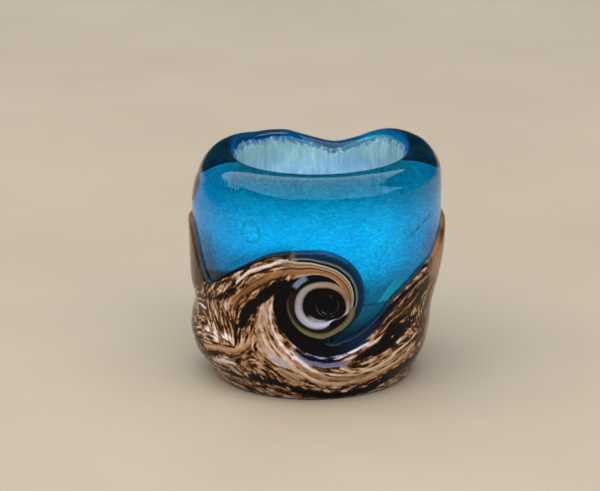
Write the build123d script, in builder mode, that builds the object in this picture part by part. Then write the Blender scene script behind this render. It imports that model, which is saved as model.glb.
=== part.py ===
from build123d import *
import math
import os

# Dreadlock bead: a blown-looking tube of thick blue glass with a band of mixed glass round its
# foot, dragged into four curling waves, and a thin pale coating in its bore.
# Millimetres, +Z up. The bead stands on its end: the foot is at z = 0 and the body is centred on Z.

# ---- driving dimensions ----
height = 13.92            # rim above the foot, on the bead's axis
rim_tilt = 0.9            # the rim is this many degrees higher on the right
bore_r = 5.0              # clear radius of the bore, inside the coating
bore_x = 0.20             # the bore runs a little to the right of the body's middle
coat_t = 0.09             # thickness of the coating
gap = 0.03                # room kept between neighbouring pieces
coat_low = 0.45           # lower edge of the coating
coat_drop = 0.62          # how far the coating stays below the rim
dip_depth = 1.18          # the rim sags this much at the back
dip_left = 4.6            # reach of that sag to the left and right of its lowest point
dip_right = 3.9
dip_x = 0.85              # where the sag is lowest, across
rim_outer = 1.60          # rounding of the rim, outside
rim_inner = 0.50          # rounding of the rim, inside
foot_inner = 0.20         # rounding of the foot, inside
band_low = 0.15           # lower edge of the wave band

# Outer shape of the clear glass: level, radius and sideways shift of each round section.
BODY = [
    # z,     r,    shift_x
    (0.00, 5.93, -0.25),
    (0.50, 6.15, -0.30),
    (1.10, 6.44, -0.35),
    (1.80, 6.78, -0.41),
    (2.80, 7.03, -0.42),
    (4.40, 7.05, -0.26),
    (6.40, 7.35, -0.10),
    (8.40, 7.50, -0.01),
    (9.80, 7.53, -0.01),
    (11.20, 7.56, 0.01),
    (12.00, 7.49, 0.09),
    (12.80, 7.31, 0.20),
    (13.60, 7.03, 0.28),
    (14.60, 6.50, 0.32),
]

# How far the wave band stands out from the glass, by level.
RELIEF = [
    # z,   relief
    (0.00, 0.10),
    (0.50, 0.16),
    (1.10, 0.23),
    (1.80, 0.28),
    (2.80, 0.29),
    (4.40, 0.29),
    (6.40, 0.29),
    (8.40, 0.29),
    (11.20, 0.29),
    (14.60, 0.10),
]

# The long slope of each wave, up from the trough before it. run is the share of the way from that
# trough to the curl's centre, and each wave has its own levels.
SLOPE = [
    # run, z_front, z_right, z_back, z_left
    (0.06, 6.98, 4.25, 4.20, 4.15),
    (0.13, 7.20, 4.85, 4.75, 4.70),
    (0.21, 7.50, 6.30, 5.70, 5.60),
    (0.30, 7.88, 7.05, 6.45, 6.45),
    (0.44, 8.50, 7.80, 7.60, 7.55),
    (0.56, 9.05, 8.15, 8.45, 8.40),
    (0.68, 9.48, 9.15, 9.10, 9.10),
    (0.78, 9.70, 9.70, 9.50, 9.50),
    (0.88, 9.82, 9.85, 9.78, 9.80),
]
# The curling crest, in degrees past the curl's centre.
CURL = [
    # turn,  z
    (0.0, 9.85),
    (7.0, 9.52),
    (13.0, 8.86),
    (17.5, 7.92),
    (19.0, 7.09),
    (18.4, 6.23),
    (16.0, 5.52),
    (11.5, 4.60),
]
# The wave on the left is broader and runs straight into the slope that follows it.
BROAD = [
    # turn,  z
    (0.0, 9.90),
    (8.0, 9.95),
    (15.0, 9.70),
    (20.0, 9.05),
    (24.5, 8.10),
    (29.0, 7.25),
]
CURLS = [CURL, CURL, CURL, BROAD]
# The bottom of the trough after each curl: degrees past the curl's centre, and level.
TROUGH = [(12.3, 3.95), (12.3, 3.95), (12.3, 3.95), (34.0, 6.84)]

# Centres of the four curls round the bead, in degrees to the right of the front.
CURL_AT = [3.2, 107.0, 187.0, 268.0]


def relief(z):
    for (z0, t0), (z1, t1) in zip(RELIEF, RELIEF[1:]):
        if z <= z1:
            return t0 + (t1 - t0) * (z - z0) / (z1 - z0)
    return RELIEF[-1][1]


def body_r(z):
    for (z0, r0, _), (z1, r1, _) in zip(BODY, BODY[1:]):
        if z <= z1:
            return r0 + (r1 - r0) * (z - z0) / (z1 - z0)
    return BODY[-1][1]


def round_body(grow, rows):
    """A solid lofted through the round sections, grown outwards by grow(z)."""
    with BuildPart() as solid:
        for z, r, shift_x in rows:
            with BuildSketch(Plane.XY.offset(z)):
                with Locations((shift_x, 0)):
                    Circle(r + grow(z))
        loft()
    return solid.part


def above_rim(level):
    """Everything above a rim at this level on the axis, tilted, with its sag at the back."""
    t = math.radians(rim_tilt)
    right, up = (math.cos(t), 0, math.sin(t)), (-math.sin(t), 0, math.cos(t))
    with BuildPart() as cutter:
        with BuildSketch(Plane(origin=(0, 0, level), x_dir=right, z_dir=up)):
            Rectangle(30, 30)
        extrude(amount=8)
        # the sag: two arcs bent down and two bent up, drawn across and pushed in from behind
        with BuildSketch(Plane(origin=(0, 14, level), x_dir=right, z_dir=(0, -1, 0))):
            with BuildLine():
                low = (dip_x, -dip_depth)
                turn_l, turn_r = (2 * math.atan(dip_depth / reach) for reach in (dip_left, dip_right))
                rl, rr = dip_left / (2 * math.sin(turn_l)), dip_right / (2 * math.sin(turn_r))
                mid_l = (dip_x - rl * math.sin(turn_l), -dip_depth + rl * (1 - math.cos(turn_l)))
                mid_r = (dip_x + rr * math.sin(turn_r), -dip_depth + rr * (1 - math.cos(turn_r)))
                end_l, end_r = (dip_x - dip_left, 0), (dip_x + dip_right, 0)
                RadiusArc(end_l, mid_l, rl)
                RadiusArc(mid_l, low, -rl)
                RadiusArc(low, mid_r, -rr)
                RadiusArc(mid_r, end_r, rr)
                Polyline(end_r, (end_r[0], 1), (end_l[0], 1), end_l)
            make_face()
        extrude(amount=14)
    return cutter.part


# ---- glass_body: the clear blue glass ----
with BuildPart() as glass_body:
    add(round_body(lambda z: 0.0, BODY))
    add(above_rim(height), mode=Mode.SUBTRACT)
    with Locations((bore_x, 0, height / 2)):
        Cylinder(bore_r + coat_t + gap, height + 4, mode=Mode.SUBTRACT)
    rim = glass_body.edges().filter_by(lambda e: e.center().Z > height - 2.2 and e.length > 1.0)
    outer = rim.filter_by(
        lambda e: math.hypot((e @ 0.5).X - bore_x, (e @ 0.5).Y) > bore_r + 1.0 and (e @ 0.5).Z > height - 1.2
    )
    inner = rim.filter_by(
        lambda e: abs(math.hypot((e @ 0.5).X - bore_x, (e @ 0.5).Y) - (bore_r + coat_t + gap)) < 0.01
        and (e @ 0.5).Z > height - 1.2
    )
    fillet(outer, rim_outer)
    inner = glass_body.edges().filter_by(
        lambda e: abs(math.hypot((e @ 0.5).X - bore_x, (e @ 0.5).Y) - (bore_r + coat_t + gap)) < 0.01
        and (e @ 0.5).Z > height - 1.2
        and e.length > 0.5
        and abs((e % 0.5).Z) < 0.8
    )
    fillet(inner, rim_inner)
    foot = glass_body.edges().filter_by(GeomType.CIRCLE).filter_by(
        lambda e: e.center().Z < 0.01 and abs(e.radius - (bore_r + coat_t + gap)) < 0.01
    )
    fillet(foot, foot_inner)
glass_body.part.label = "glass_body"

# ---- bore_lining: the pale coating that the glass was wound on ----
with BuildPart() as bore_lining:
    with Locations((bore_x, 0, (height + coat_low) / 2)):
        Cylinder(bore_r + coat_t, height - coat_low)
        Cylinder(bore_r, height + 4, mode=Mode.SUBTRACT)
    add(above_rim(height - coat_drop), mode=Mode.SUBTRACT)
bore_lining.part.label = "bore_lining"

# ---- wave_band: the raised band of mixed glass with its four curling waves ----
def wave_points(i):
    """The edge of wave i as pairs of azimuth in degrees and level, from trough to trough."""
    at = CURL_AT[i]
    turn, low = TROUGH[i - 1]
    before = CURL_AT[i - 1] - (360 if i == 0 else 0) + turn
    pts = [(before, low)]
    pts += [(before + row[0] * (at - before), row[1 + i]) for row in SLOPE]
    pts += [(at + turn, z) for turn, z in CURLS[i]]
    return pts


def sector(i):
    """A block that holds the band from the slope of wave i to the slope of the next one."""
    this, nxt = wave_points(i), wave_points((i + 1) % 4)
    if i == 3:
        nxt = [(a + 360, z) for a, z in nxt]
    first, last = this[4][0], nxt[4][0]
    pts = [p for p in this[4:]] + [p for p in nxt[:5]]
    mid = (first + last) / 2
    n = math.radians(mid)
    across = (math.cos(n), math.sin(n), 0)
    out = (math.sin(n), -math.cos(n), 0)
    flat = [((body_r(z) + relief(z)) * math.sin(math.radians(a - mid)), z) for a, z in pts]
    with BuildPart() as block:
        with BuildSketch(Plane(origin=(0, 0, 0), x_dir=across, z_dir=out)):
            with BuildLine():
                Spline(*flat)
                Polyline(flat[-1], (flat[-1][0], band_low), (flat[0][0], band_low), flat[0])
            make_face()
        extrude(amount=12)
    # the block keeps to its own sector of the ring
    with BuildPart() as keep:
        with BuildSketch(Plane.XY.offset(-1)):
            with BuildLine():
                a, b = math.radians(first), math.radians(last)
                p0, p1 = (13 * math.sin(a), -13 * math.cos(a)), (13 * math.sin(b), -13 * math.cos(b))
                m = ((13 * math.sin(n)), (-13 * math.cos(n)))
                Line((0, 0), p0)
                ThreePointArc(p0, m, p1)
                Line(p1, (0, 0))
            make_face()
        extrude(amount=14)
    return block, keep


shell_out = round_body(relief, BODY)
shell_in = round_body(lambda z: gap, BODY)
pieces = []
for i in range(4):
    block, keep = sector(i)
    pieces.append(block.part & keep.part)
with BuildPart() as wave_band:
    add(shell_out)
    add(shell_in, mode=Mode.SUBTRACT)
    with BuildPart(mode=Mode.INTERSECT) as waves:
        for p in pieces:
            add(p)
wave_band.part.label = "wave_band"

os.makedirs("parts", exist_ok=True)
export_step(glass_body.part, "parts/glass_body.step")
export_step(bore_lining.part, "parts/bore_lining.step")
export_step(wave_band.part, "parts/wave_band.step")
for name, made in (("glass_body", glass_body), ("bore_lining", bore_lining), ("wave_band", wave_band)):
    box = made.part.bounding_box()
    print(name, "solids", len(made.part.solids()), "volume", round(made.part.volume, 2), "valid", made.part.is_valid,
          [round(v, 3) for v in (box.min.X, box.min.Y, box.min.Z, box.max.X, box.max.Y, box.max.Z)])
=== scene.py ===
import math

import bpy
import numpy as np
from mathutils import Matrix, Vector, geometry


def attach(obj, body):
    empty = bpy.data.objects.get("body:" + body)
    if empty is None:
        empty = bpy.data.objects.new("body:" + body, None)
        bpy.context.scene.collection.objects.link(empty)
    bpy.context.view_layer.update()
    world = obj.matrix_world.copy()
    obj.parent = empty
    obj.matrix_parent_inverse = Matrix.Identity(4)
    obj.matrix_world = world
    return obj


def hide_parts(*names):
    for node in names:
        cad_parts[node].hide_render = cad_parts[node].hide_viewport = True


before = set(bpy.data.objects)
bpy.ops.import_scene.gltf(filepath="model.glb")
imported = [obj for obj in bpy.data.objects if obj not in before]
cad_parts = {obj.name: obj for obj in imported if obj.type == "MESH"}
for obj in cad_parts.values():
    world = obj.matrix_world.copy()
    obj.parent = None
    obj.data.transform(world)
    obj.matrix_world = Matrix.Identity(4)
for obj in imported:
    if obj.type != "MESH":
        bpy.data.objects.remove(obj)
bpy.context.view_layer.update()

MM = 0.001
rng = np.random.default_rng(11)

# ---------------------------------------------------------------- shape tables (millimetres)
HEIGHT = 13.92
RIM_TILT = 0.9
BORE_X = 0.20
BORE_R = 5.0
DIP_X, DIP_DEPTH, DIP_LEFT, DIP_RIGHT = 0.85, 1.18, 4.6, 3.9
RIM_OUTER, RIM_INNER = 1.60, 0.50
BAND_LOW = 0.06

# level, radius, sideways shift of the clear glass
BODY = np.array([
    (0.00, 5.93, -0.25),
    (0.50, 6.15, -0.30),
    (1.10, 6.44, -0.35),
    (1.80, 6.78, -0.41),
    (2.80, 7.03, -0.42),
    (4.40, 7.05, -0.26),
    (6.40, 7.35, -0.10),
    (8.40, 7.50, -0.01),
    (9.80, 7.53, -0.01),
    (11.20, 7.56, 0.01),
    (12.00, 7.49, 0.09),
    (12.80, 7.31, 0.20),
    (13.60, 7.03, 0.28),
    (14.60, 6.50, 0.32),
])
# how far the band stands out from the glass, by level
RELIEF = np.array([
    (0.00, 0.10),
    (0.50, 0.16),
    (1.10, 0.23),
    (1.80, 0.28),
    (2.80, 0.29),
    (11.20, 0.29),
])
# long slope of each wave from the trough before it: degrees right of front, and levels
SLOPES = [
    [(-57.0, 6.86), (-54.6, 7.03), (-51.3, 7.25), (-47.6, 7.56), (-43.6, 7.88), (-39.9, 8.18), (-35.4, 8.52), (-30.3, 8.91), (-24.5, 9.33), (-18.4, 9.63), (-11.5, 9.80),
     (-4.8, 9.86)],
    [(10.5, 4.02), (15.0, 4.16), (20.2, 4.37), (24.3, 4.66), (28.4, 5.04), (32.0, 5.42), (35.2, 5.98), (38.4, 6.45), (43.5, 6.92),
     (50.0, 7.42), (55.8, 7.80), (66.7, 8.15), (77.7, 9.15), (86.9, 9.70), (96.0, 9.85)],
    [(114.3, 4.02), (118.0, 4.14), (123.5, 4.40), (129.0, 4.85), (133.6, 5.60), (138.6, 6.35), (146.0, 7.15), (153.5, 8.00), (161.0, 8.85),
     (167.5, 9.40), (174.5, 9.75)],
    [(194.3, 4.02), (198.5, 4.15), (203.8, 4.38), (208.6, 4.75), (213.0, 5.35), (217.5, 6.05), (224.5, 6.90), (232.0, 7.75), (240.5, 8.60),
     (249.0, 9.30), (258.0, 9.75)],
]
# the curling crest and the trough under it: degrees past the curl's centre, and level
CURL = [
    (0.0, 9.86), (5.1, 9.66), (12.0, 9.10), (16.3, 8.41), (19.2, 7.60), (20.2, 6.88), (20.0, 6.24), (18.3, 5.61), (16.0, 5.18),
    (13.1, 4.83), (9.7, 4.54), (6.3, 4.31), (3.9, 4.13),
]
# the wave on the left is broader than the others and runs into the next slope
BROAD = [
    (0.0, 9.93), (8.0, 10.00), (13.0, 9.92), (17.0, 9.58), (19.8, 9.10), (22.2, 8.60), (24.6, 8.10), (27.0, 7.62), (29.6, 7.20), (32.4, 6.90),
]
CURLS = [CURL, CURL, CURL, BROAD]
CURL_AT = [3.2, 107.0, 187.0, 268.0]
EYE_AT = [3.2, 112.0, 187.0, 248.0]  # the black eye of each curl
CURL_Z = 6.56
FLAT_R = 7.6              # radius on which the pattern is laid out flat


def spline(xs, ys, x):
    """A smooth curve through the rows, with no overshoot at the ends."""
    xs, ys, x = np.asarray(xs, float), np.asarray(ys, float), np.asarray(x, float)
    h = np.diff(xs)
    d = np.diff(ys) / h
    m = np.empty(len(xs))
    m[1:-1] = (d[:-1] * h[1:] + d[1:] * h[:-1]) / (h[1:] + h[:-1])
    m[0], m[-1] = d[0], d[-1]
    i = np.clip(np.searchsorted(xs, x) - 1, 0, len(h) - 1)
    t = np.clip((x - xs[i]) / h[i], 0, 1)
    a, b = ys[i], ys[i + 1]
    return ((2 * t**3 - 3 * t**2 + 1) * a + (t**3 - 2 * t**2 + t) * h[i] * m[i]
            + (-2 * t**3 + 3 * t**2) * b + (t**3 - t**2) * h[i] * m[i + 1])


def body_r(z):
    return spline(BODY[:, 0], BODY[:, 1], z)


def body_cx(z):
    return spline(BODY[:, 0], BODY[:, 2], z)


def sag(x, y):
    """How far the rim lies above its level on the axis, at a place in plan."""
    turn_l, turn_r = 2 * math.atan(DIP_DEPTH / DIP_LEFT), 2 * math.atan(DIP_DEPTH / DIP_RIGHT)
    out = np.zeros_like(x)
    for side, reach, turn in ((-1, DIP_LEFT, turn_l), (1, DIP_RIGHT, turn_r)):
        r = reach / (2 * math.sin(turn))
        u = (x - DIP_X) * side
        near = -DIP_DEPTH + r - np.sqrt(np.maximum(r * r - u * u, 0))
        far = -(r - np.sqrt(np.maximum(r * r - (reach - u) ** 2, 0)))
        v = np.where(u < r * math.sin(turn), near, far)
        out += np.where((u >= 0) & (u < reach) & (y > 0), v, 0)
    return out + x * math.tan(math.radians(RIM_TILT))


def smooth(t):
    t = np.clip(t, 0, 1)
    return t * t * (3 - 2 * t)


# unevenness of the back of the rim beyond the plain sag: across, lift
CREST = np.array([
    (-7.6, 0.0), (-6.8, 0.06), (-5.8, 0.13), (-4.7, 0.06), (-3.7, -0.12), (-2.64, -0.07), (-1.6, 0.11), (-0.72, 0.18), (0.0, 0.14),
    (0.66, 0.05), (1.1, 0.0), (2.2, 0.0), (3.1, -0.10), (4.2, 0.0), (5.0, 0.13), (5.75, 0.19), (6.5, 0.18), (7.6, 0.05),
])


def follow_rim(x, y, z):
    """Moves the top of the bead up and down with its rim."""
    lift = spline(CREST[:, 0], CREST[:, 1], np.clip(x, -7.6, 7.6)) * smooth(y / 2.5)
    return z + (sag(x, y) + lift) * smooth((z - 10.2) / (12.9 - 10.2))


# ---------------------------------------------------------------- mesh helpers
def mesh_object(name, verts, faces, smooth_shade=True):
    me = bpy.data.meshes.new(name)
    verts = np.asarray(verts, float) * MM
    me.from_pydata([tuple(v) for v in verts], [], faces)
    me.validate()
    me.update()
    ob = bpy.data.objects.new(name, me)
    bpy.context.scene.collection.objects.link(ob)
    if smooth_shade:
        me.polygons.foreach_set("use_smooth", [True] * len(me.polygons))
    return ob


def ring_mesh(name, rows, n):
    """A closed ring: rows is (profile points, n, 3); both directions wrap."""
    m = rows.shape[0]
    verts = rows.reshape(-1, 3)
    faces = []
    for i in range(m):
        i2 = (i + 1) % m
        for j in range(n):
            j2 = (j + 1) % n
            faces.append((i * n + j, i * n + j2, i2 * n + j2, i2 * n + j))
    return mesh_object(name, verts, faces)


# ---------------------------------------------------------------- glass body
N_ROUND = 400
GLASS_BORE = 5.06
phi = np.arange(N_ROUND) * 2 * np.pi / N_ROUND


def body_profile():
    """Points (r, cx, z) once round the wall of the tube: foot, outside, rim, bore."""
    pts = []
    # foot: land and its outer edge, a little softened
    edge = 0.16
    for t in np.linspace(0, 1, 6):
        a = math.radians(-90 + 66 * t)
        pts.append((5.93 - 0.115 + edge * math.cos(a), -0.25, edge + edge * math.sin(a)))
    zt = np.linspace(0.12, 14.2, 1200)
    rw, cw = body_r(zt), body_cx(zt)
    # the ball that rounds the rim touches the wall here
    zc = HEIGHT - RIM_OUTER
    lo, hi = 4.0, 7.2
    for _ in range(60):
        rc = (lo + hi) / 2
        if np.hypot(rw - rc, zt - zc).min() > RIM_OUTER:
            lo = rc
        else:
            hi = rc
    k = int(np.argmin(np.hypot(rw - rc, zt - zc)))
    z_touch, r_touch, c_touch = zt[k], rw[k], cw[k]
    z_wall = np.concatenate([np.linspace(0.14, 3.0, 22)[:-1], np.linspace(3.0, z_touch, 46)[:-1]])
    for z in z_wall:
        pts.append((float(body_r(z)), float(body_cx(z)), z))
    a0 = math.atan2(z_touch - zc, r_touch - rc)
    for t in np.linspace(0, 1, 22):
        a = a0 + (math.pi / 2 - a0) * t
        c = c_touch + (BORE_X - c_touch) * smooth(t)
        pts.append((rc + RIM_OUTER * math.cos(a), c, zc + RIM_OUTER * math.sin(a)))
    rin = GLASS_BORE + RIM_INNER
    for t in np.linspace(0, 1, 12):
        a = math.pi / 2 * (1 + t)
        pts.append((rin + RIM_INNER * math.cos(a), BORE_X, HEIGHT - RIM_INNER + RIM_INNER * math.sin(a)))
    for z in np.linspace(HEIGHT - RIM_INNER, 0.2, 50)[1:]:
        pts.append((GLASS_BORE, BORE_X, z))
    for t in np.linspace(0, 1, 6)[1:]:
        a = math.pi * (1 + t / 2)
        pts.append((GLASS_BORE + 0.2 + 0.2 * math.cos(a), BORE_X, 0.2 + 0.2 * math.sin(a)))
    return pts


def hand_made(a, z):
    """Slow unevenness of hot-worked glass, in millimetres."""
    return (0.022 * np.sin(2 * a + 0.7 + 0.35 * z) + 0.016 * np.sin(3 * a - 1.1 + 0.55 * z)
            + 0.010 * np.sin(5 * a + 2.0 - 0.8 * z) + 0.008 * np.sin(7 * a + 0.4 + 1.1 * z))


def make_body():
    pts = body_profile()
    rows = np.zeros((len(pts), N_ROUND, 3))
    for i, (r, cx, z) in enumerate(pts):
        w = smooth((z - 0.3) / 2.0) * smooth((r - GLASS_BORE - 0.4) / 0.9)
        rr = r + (hand_made(phi, z) - 0.035) * w
        x = cx + rr * np.sin(phi)
        y = -rr * np.cos(phi)
        zz = np.full_like(phi, z)
        rows[i] = np.stack([x, y, follow_rim(x, y, zz)], -1)
    return ring_mesh("glass_tube", rows, N_ROUND)


# ---------------------------------------------------------------- bore lining
def wobble(a, terms):
    out = np.zeros_like(a)
    for k, amp in terms:
        out += amp * np.sin(k * a + rng.uniform(0, 6.28))
    return out


def make_lining():
    n = 900
    a = np.arange(n) * 2 * np.pi / n
    ragged = wobble(a, [(3, .05), (7, .05), (13, .05), (22, .035), (37, .035), (61, .03), (97, .02), (151, .015), (233, .012)])
    fine = rng.uniform(-0.035, 0.035, n)
    top = HEIGHT - 0.20 + ragged * 0.6 + fine * 0.5
    low = 0.50 + wobble(a, [(4, .03), (11, .02), (29, .01), (53, .008)])
    levels = np.linspace(0, 1, 40) ** 0.6
    outer, inner = [], []
    zc = HEIGHT - RIM_INNER
    for t in levels:
        z = low + (top - low) * t
        up = np.clip(z - zc, 0, RIM_INNER)
        g = GLASS_BORE + RIM_INNER - np.sqrt(np.maximum(RIM_INNER**2 - up**2, 0))
        uneven = 0.008 * np.sin(9 * a + 1.3 * z) + 0.006 * np.sin(23 * a - 2.1 * z)
        thin = smooth((top - z) / 0.25)
        for r, rows in ((g + 0.03, outer), (g - 0.012 - 0.045 * thin + uneven * thin * 0.6, inner)):
            x, y = BORE_X + r * np.sin(a), -r * np.cos(a)
            rows.append(np.stack([x, y, follow_rim(x, y, z)], -1))
    rows = np.array(outer + inner[::-1])
    ob = ring_mesh("bore_coating", rows, n)
    at = ob.data.attributes.new("outside", "FLOAT", "POINT")
    at.data.foreach_set("value", np.repeat([1.0, 0.0], len(levels) * n).astype(np.float32))
    # millimetres below the ragged upper edge
    down = np.array([(top - low) * (1 - q) for q in levels])
    at = ob.data.attributes.new("below", "FLOAT", "POINT")
    at.data.foreach_set("value", np.concatenate([down, down[::-1]]).ravel().astype(np.float32))
    return ob


# ---------------------------------------------------------------- wave band
def wave_outline():
    """Upper edge of the band, once round, as (azimuth in degrees, level)."""
    out = []
    for slope, at, curl in zip(SLOPES, CURL_AT, CURLS):
        out += slope + [(at + turn, z) for turn, z in curl]
    return np.array(out)


def band_edge():
    """The upper edge laid flat (s, z) from the seam at the back, left to right."""
    pts = wave_outline()
    pts[:, 0] *= math.pi / 180 * FLAT_R
    turn = 2 * math.pi * FLAT_R
    far = np.concatenate([pts - [turn, 0], pts, pts + [turn, 0]])
    dense = []
    for i in range(1, len(far) - 2):
        p0, p1, p2, p3 = far[i - 1], far[i], far[i + 1], far[i + 2]
        # centripetal spacing keeps the tight trough free of loops
        t0 = 0.0
        t1 = t0 + max(np.hypot(*(p1 - p0)), 1e-6) ** 0.5
        t2 = t1 + max(np.hypot(*(p2 - p1)), 1e-6) ** 0.5
        t3 = t2 + max(np.hypot(*(p3 - p2)), 1e-6) ** 0.5
        for t in np.linspace(t1, t2, 40, endpoint=False):
            a1 = (t1 - t) / (t1 - t0) * p0 + (t - t0) / (t1 - t0) * p1
            a2 = (t2 - t) / (t2 - t1) * p1 + (t - t1) / (t2 - t1) * p2
            a3 = (t3 - t) / (t3 - t2) * p2 + (t - t2) / (t3 - t2) * p3
            b1 = (t2 - t) / (t2 - t0) * a1 + (t - t0) / (t2 - t0) * a2
            b2 = (t3 - t) / (t3 - t1) * a2 + (t - t1) / (t3 - t1) * a3
            dense.append((t2 - t) / (t2 - t1) * b1 + (t - t1) / (t2 - t1) * b2)
    dense = np.array(dense)
    # cut where the curve crosses the seam on a long slope (the back wave's, where it is single-valued)
    half = turn / 2
    return dense, half


def resample(p, step):
    d = np.concatenate([[0], np.cumsum(np.hypot(*np.diff(p, axis=0).T))])
    k = max(2, int(round(d[-1] / step)))
    t = np.linspace(0, d[-1], k + 1)
    return np.stack([np.interp(t, d, p[:, 0]), np.interp(t, d, p[:, 1])], -1)


SPACING = 0.082
FINE_SPACING, FINE_REACH = 0.056, 2.75


def hex_points(s0, s1, z0, z1, step):
    pts = []
    for j in range(int((z1 - z0) / (step * 0.866)) + 1):
        x = np.arange(s0 + 0.5 * step * (j % 2), s1, step)
        pts.append(np.stack([x, np.full_like(x, z0 + j * step * 0.866)], -1))
    return np.concatenate(pts)


def make_band():
    dense, half = band_edge()
    # crossings of the seam
    s = dense[:, 0]
    i0 = [i for i in range(len(s) - 1) if s[i] < -half <= s[i + 1]][0]
    i1 = [i for i in range(len(s) - 1) if s[i] < half <= s[i + 1]][0]

    def at(i, x):
        t = (x - s[i]) / (s[i + 1] - s[i])
        return dense[i] * (1 - t) + dense[i + 1] * t

    start, end = at(i0, -half), at(i1, half)
    top = np.concatenate([[start], dense[i0 + 1: i1 + 1], [end]])
    top = resample(top, 0.08)
    top[0, 0], top[-1, 0] = -half, half
    zt = (top[0, 1] + top[-1, 1]) / 2
    top[0, 1] = top[-1, 1] = zt
    side_z = np.linspace(BAND_LOW, zt, 90)
    k = int(round(2 * half / 0.1))
    low = np.stack([np.linspace(-half, half, k + 1), np.full(k + 1, BAND_LOW)], -1)
    loop = np.concatenate([low[:-1], np.stack([np.full(90, half), side_z], -1)[:-1], top[::-1][:-1],
                           np.stack([np.full(90, -half), side_z[::-1]], -1)[:-1]])
    rough = resample(top, 0.22)
    skins = []
    for level in (0, 1):
        if level == 0:
            pts = hex_points(-half + 0.06, half - 0.05, BAND_LOW + 0.05, 10.2, SPACING)
            for c in EYE_AT:
                sc = (math.radians(c) * FLAT_R + half) % (2 * half) - half
                sc = sc if sc < half else sc - 2 * half
                near = np.hypot(pts[:, 0] - sc, pts[:, 1] - CURL_Z) < FINE_REACH
                add = hex_points(sc - FINE_REACH, sc + FINE_REACH, CURL_Z - FINE_REACH, CURL_Z + FINE_REACH, FINE_SPACING)
                add = add[np.hypot(add[:, 0] - sc, add[:, 1] - CURL_Z) < FINE_REACH - 0.03]
                pts = np.concatenate([pts[~near], add])
            keep, jitter = 0.045, 0.006
        else:
            pts = hex_points(-half + 0.2, half - 0.15, BAND_LOW + 0.25, 10.2, 0.42)
            keep, jitter = 0.2, 0.0
        pts = pts + rng.uniform(-1, 1, pts.shape) * jitter
        pts = pts[in_polygon(pts, np.concatenate([low[[0, -1]], rough[::-1]]))]
        pts = pts[(np.abs(pts[:, 0]) < half - keep) & (pts[:, 1] > BAND_LOW + keep * 0.8)]
        d = near_line(pts, top, 0.45)
        pts = pts[d > keep]
        nb = len(loop)
        edges = [(i, (i + 1) % nb) for i in range(nb)]
        res = geometry.delaunay_2d_cdt([Vector(p) for p in np.concatenate([loop, pts])], edges, [], 1, 1e-6)
        v2 = np.array([tuple(v) for v in res[0]])
        tris = np.array([f for f in res[2] if len(f) == 3])
        # merge the seam: the same place on both sides
        key, ids = {}, np.arange(len(v2))
        for i in np.where(np.abs(np.abs(v2[:, 0]) - half) < 1e-5)[0]:
            z = round(float(v2[i, 1]), 3)
            ids[i] = key.setdefault(z, i)
        tris = ids[tris]
        used, inv = np.unique(tris, return_inverse=True)
        v2, tris = v2[used], inv.reshape(-1, 3)
        skins.append((v2, tris, near_line(v2, top, 0.6), v2[:, 1] - BAND_LOW))
    return skins


def near_line(p, line, far):
    """Distance to the line where it is under far, and far elsewhere."""
    out = np.full(len(p), far)
    order = np.argsort(p[:, 0])
    xs = p[order, 0]
    for k in range(0, len(line) - 1, 12):
        piece = line[k:k + 13]
        i0, i1 = np.searchsorted(xs, [piece[:, 0].min() - far, piece[:, 0].max() + far])
        idx = order[i0:i1]
        idx = idx[(p[idx, 1] > piece[:, 1].min() - far) & (p[idx, 1] < piece[:, 1].max() + far)]
        if len(idx):
            out[idx] = np.minimum(out[idx], line_distance(p[idx], piece))
    return out


def in_polygon(p, poly):
    inside = np.zeros(len(p), bool)
    x, y = p[:, 0], p[:, 1]
    q = np.roll(poly, -1, axis=0)
    for (x0, y0), (x1, y1) in zip(poly, q):
        if y0 == y1:
            continue
        c = ((y0 > y) != (y1 > y)) & (x < (x1 - x0) * (y - y0) / (y1 - y0) + x0)
        inside ^= c
    return inside


def line_distance(p, line):
    a, b = line[:-1], line[1:]
    ab = b - a
    l2 = np.maximum((ab**2).sum(1), 1e-12)
    out = np.full(len(p), 1e9)
    for k in range(0, len(p), 3000):
        q = p[k:k + 3000, None, :]
        t = np.clip(((q - a) * ab).sum(2) / l2, 0, 1)
        c = a + t[..., None] * ab
        out[k:k + 3000] = np.sqrt(((q - c) ** 2).sum(2)).min(1)
    return out


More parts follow.
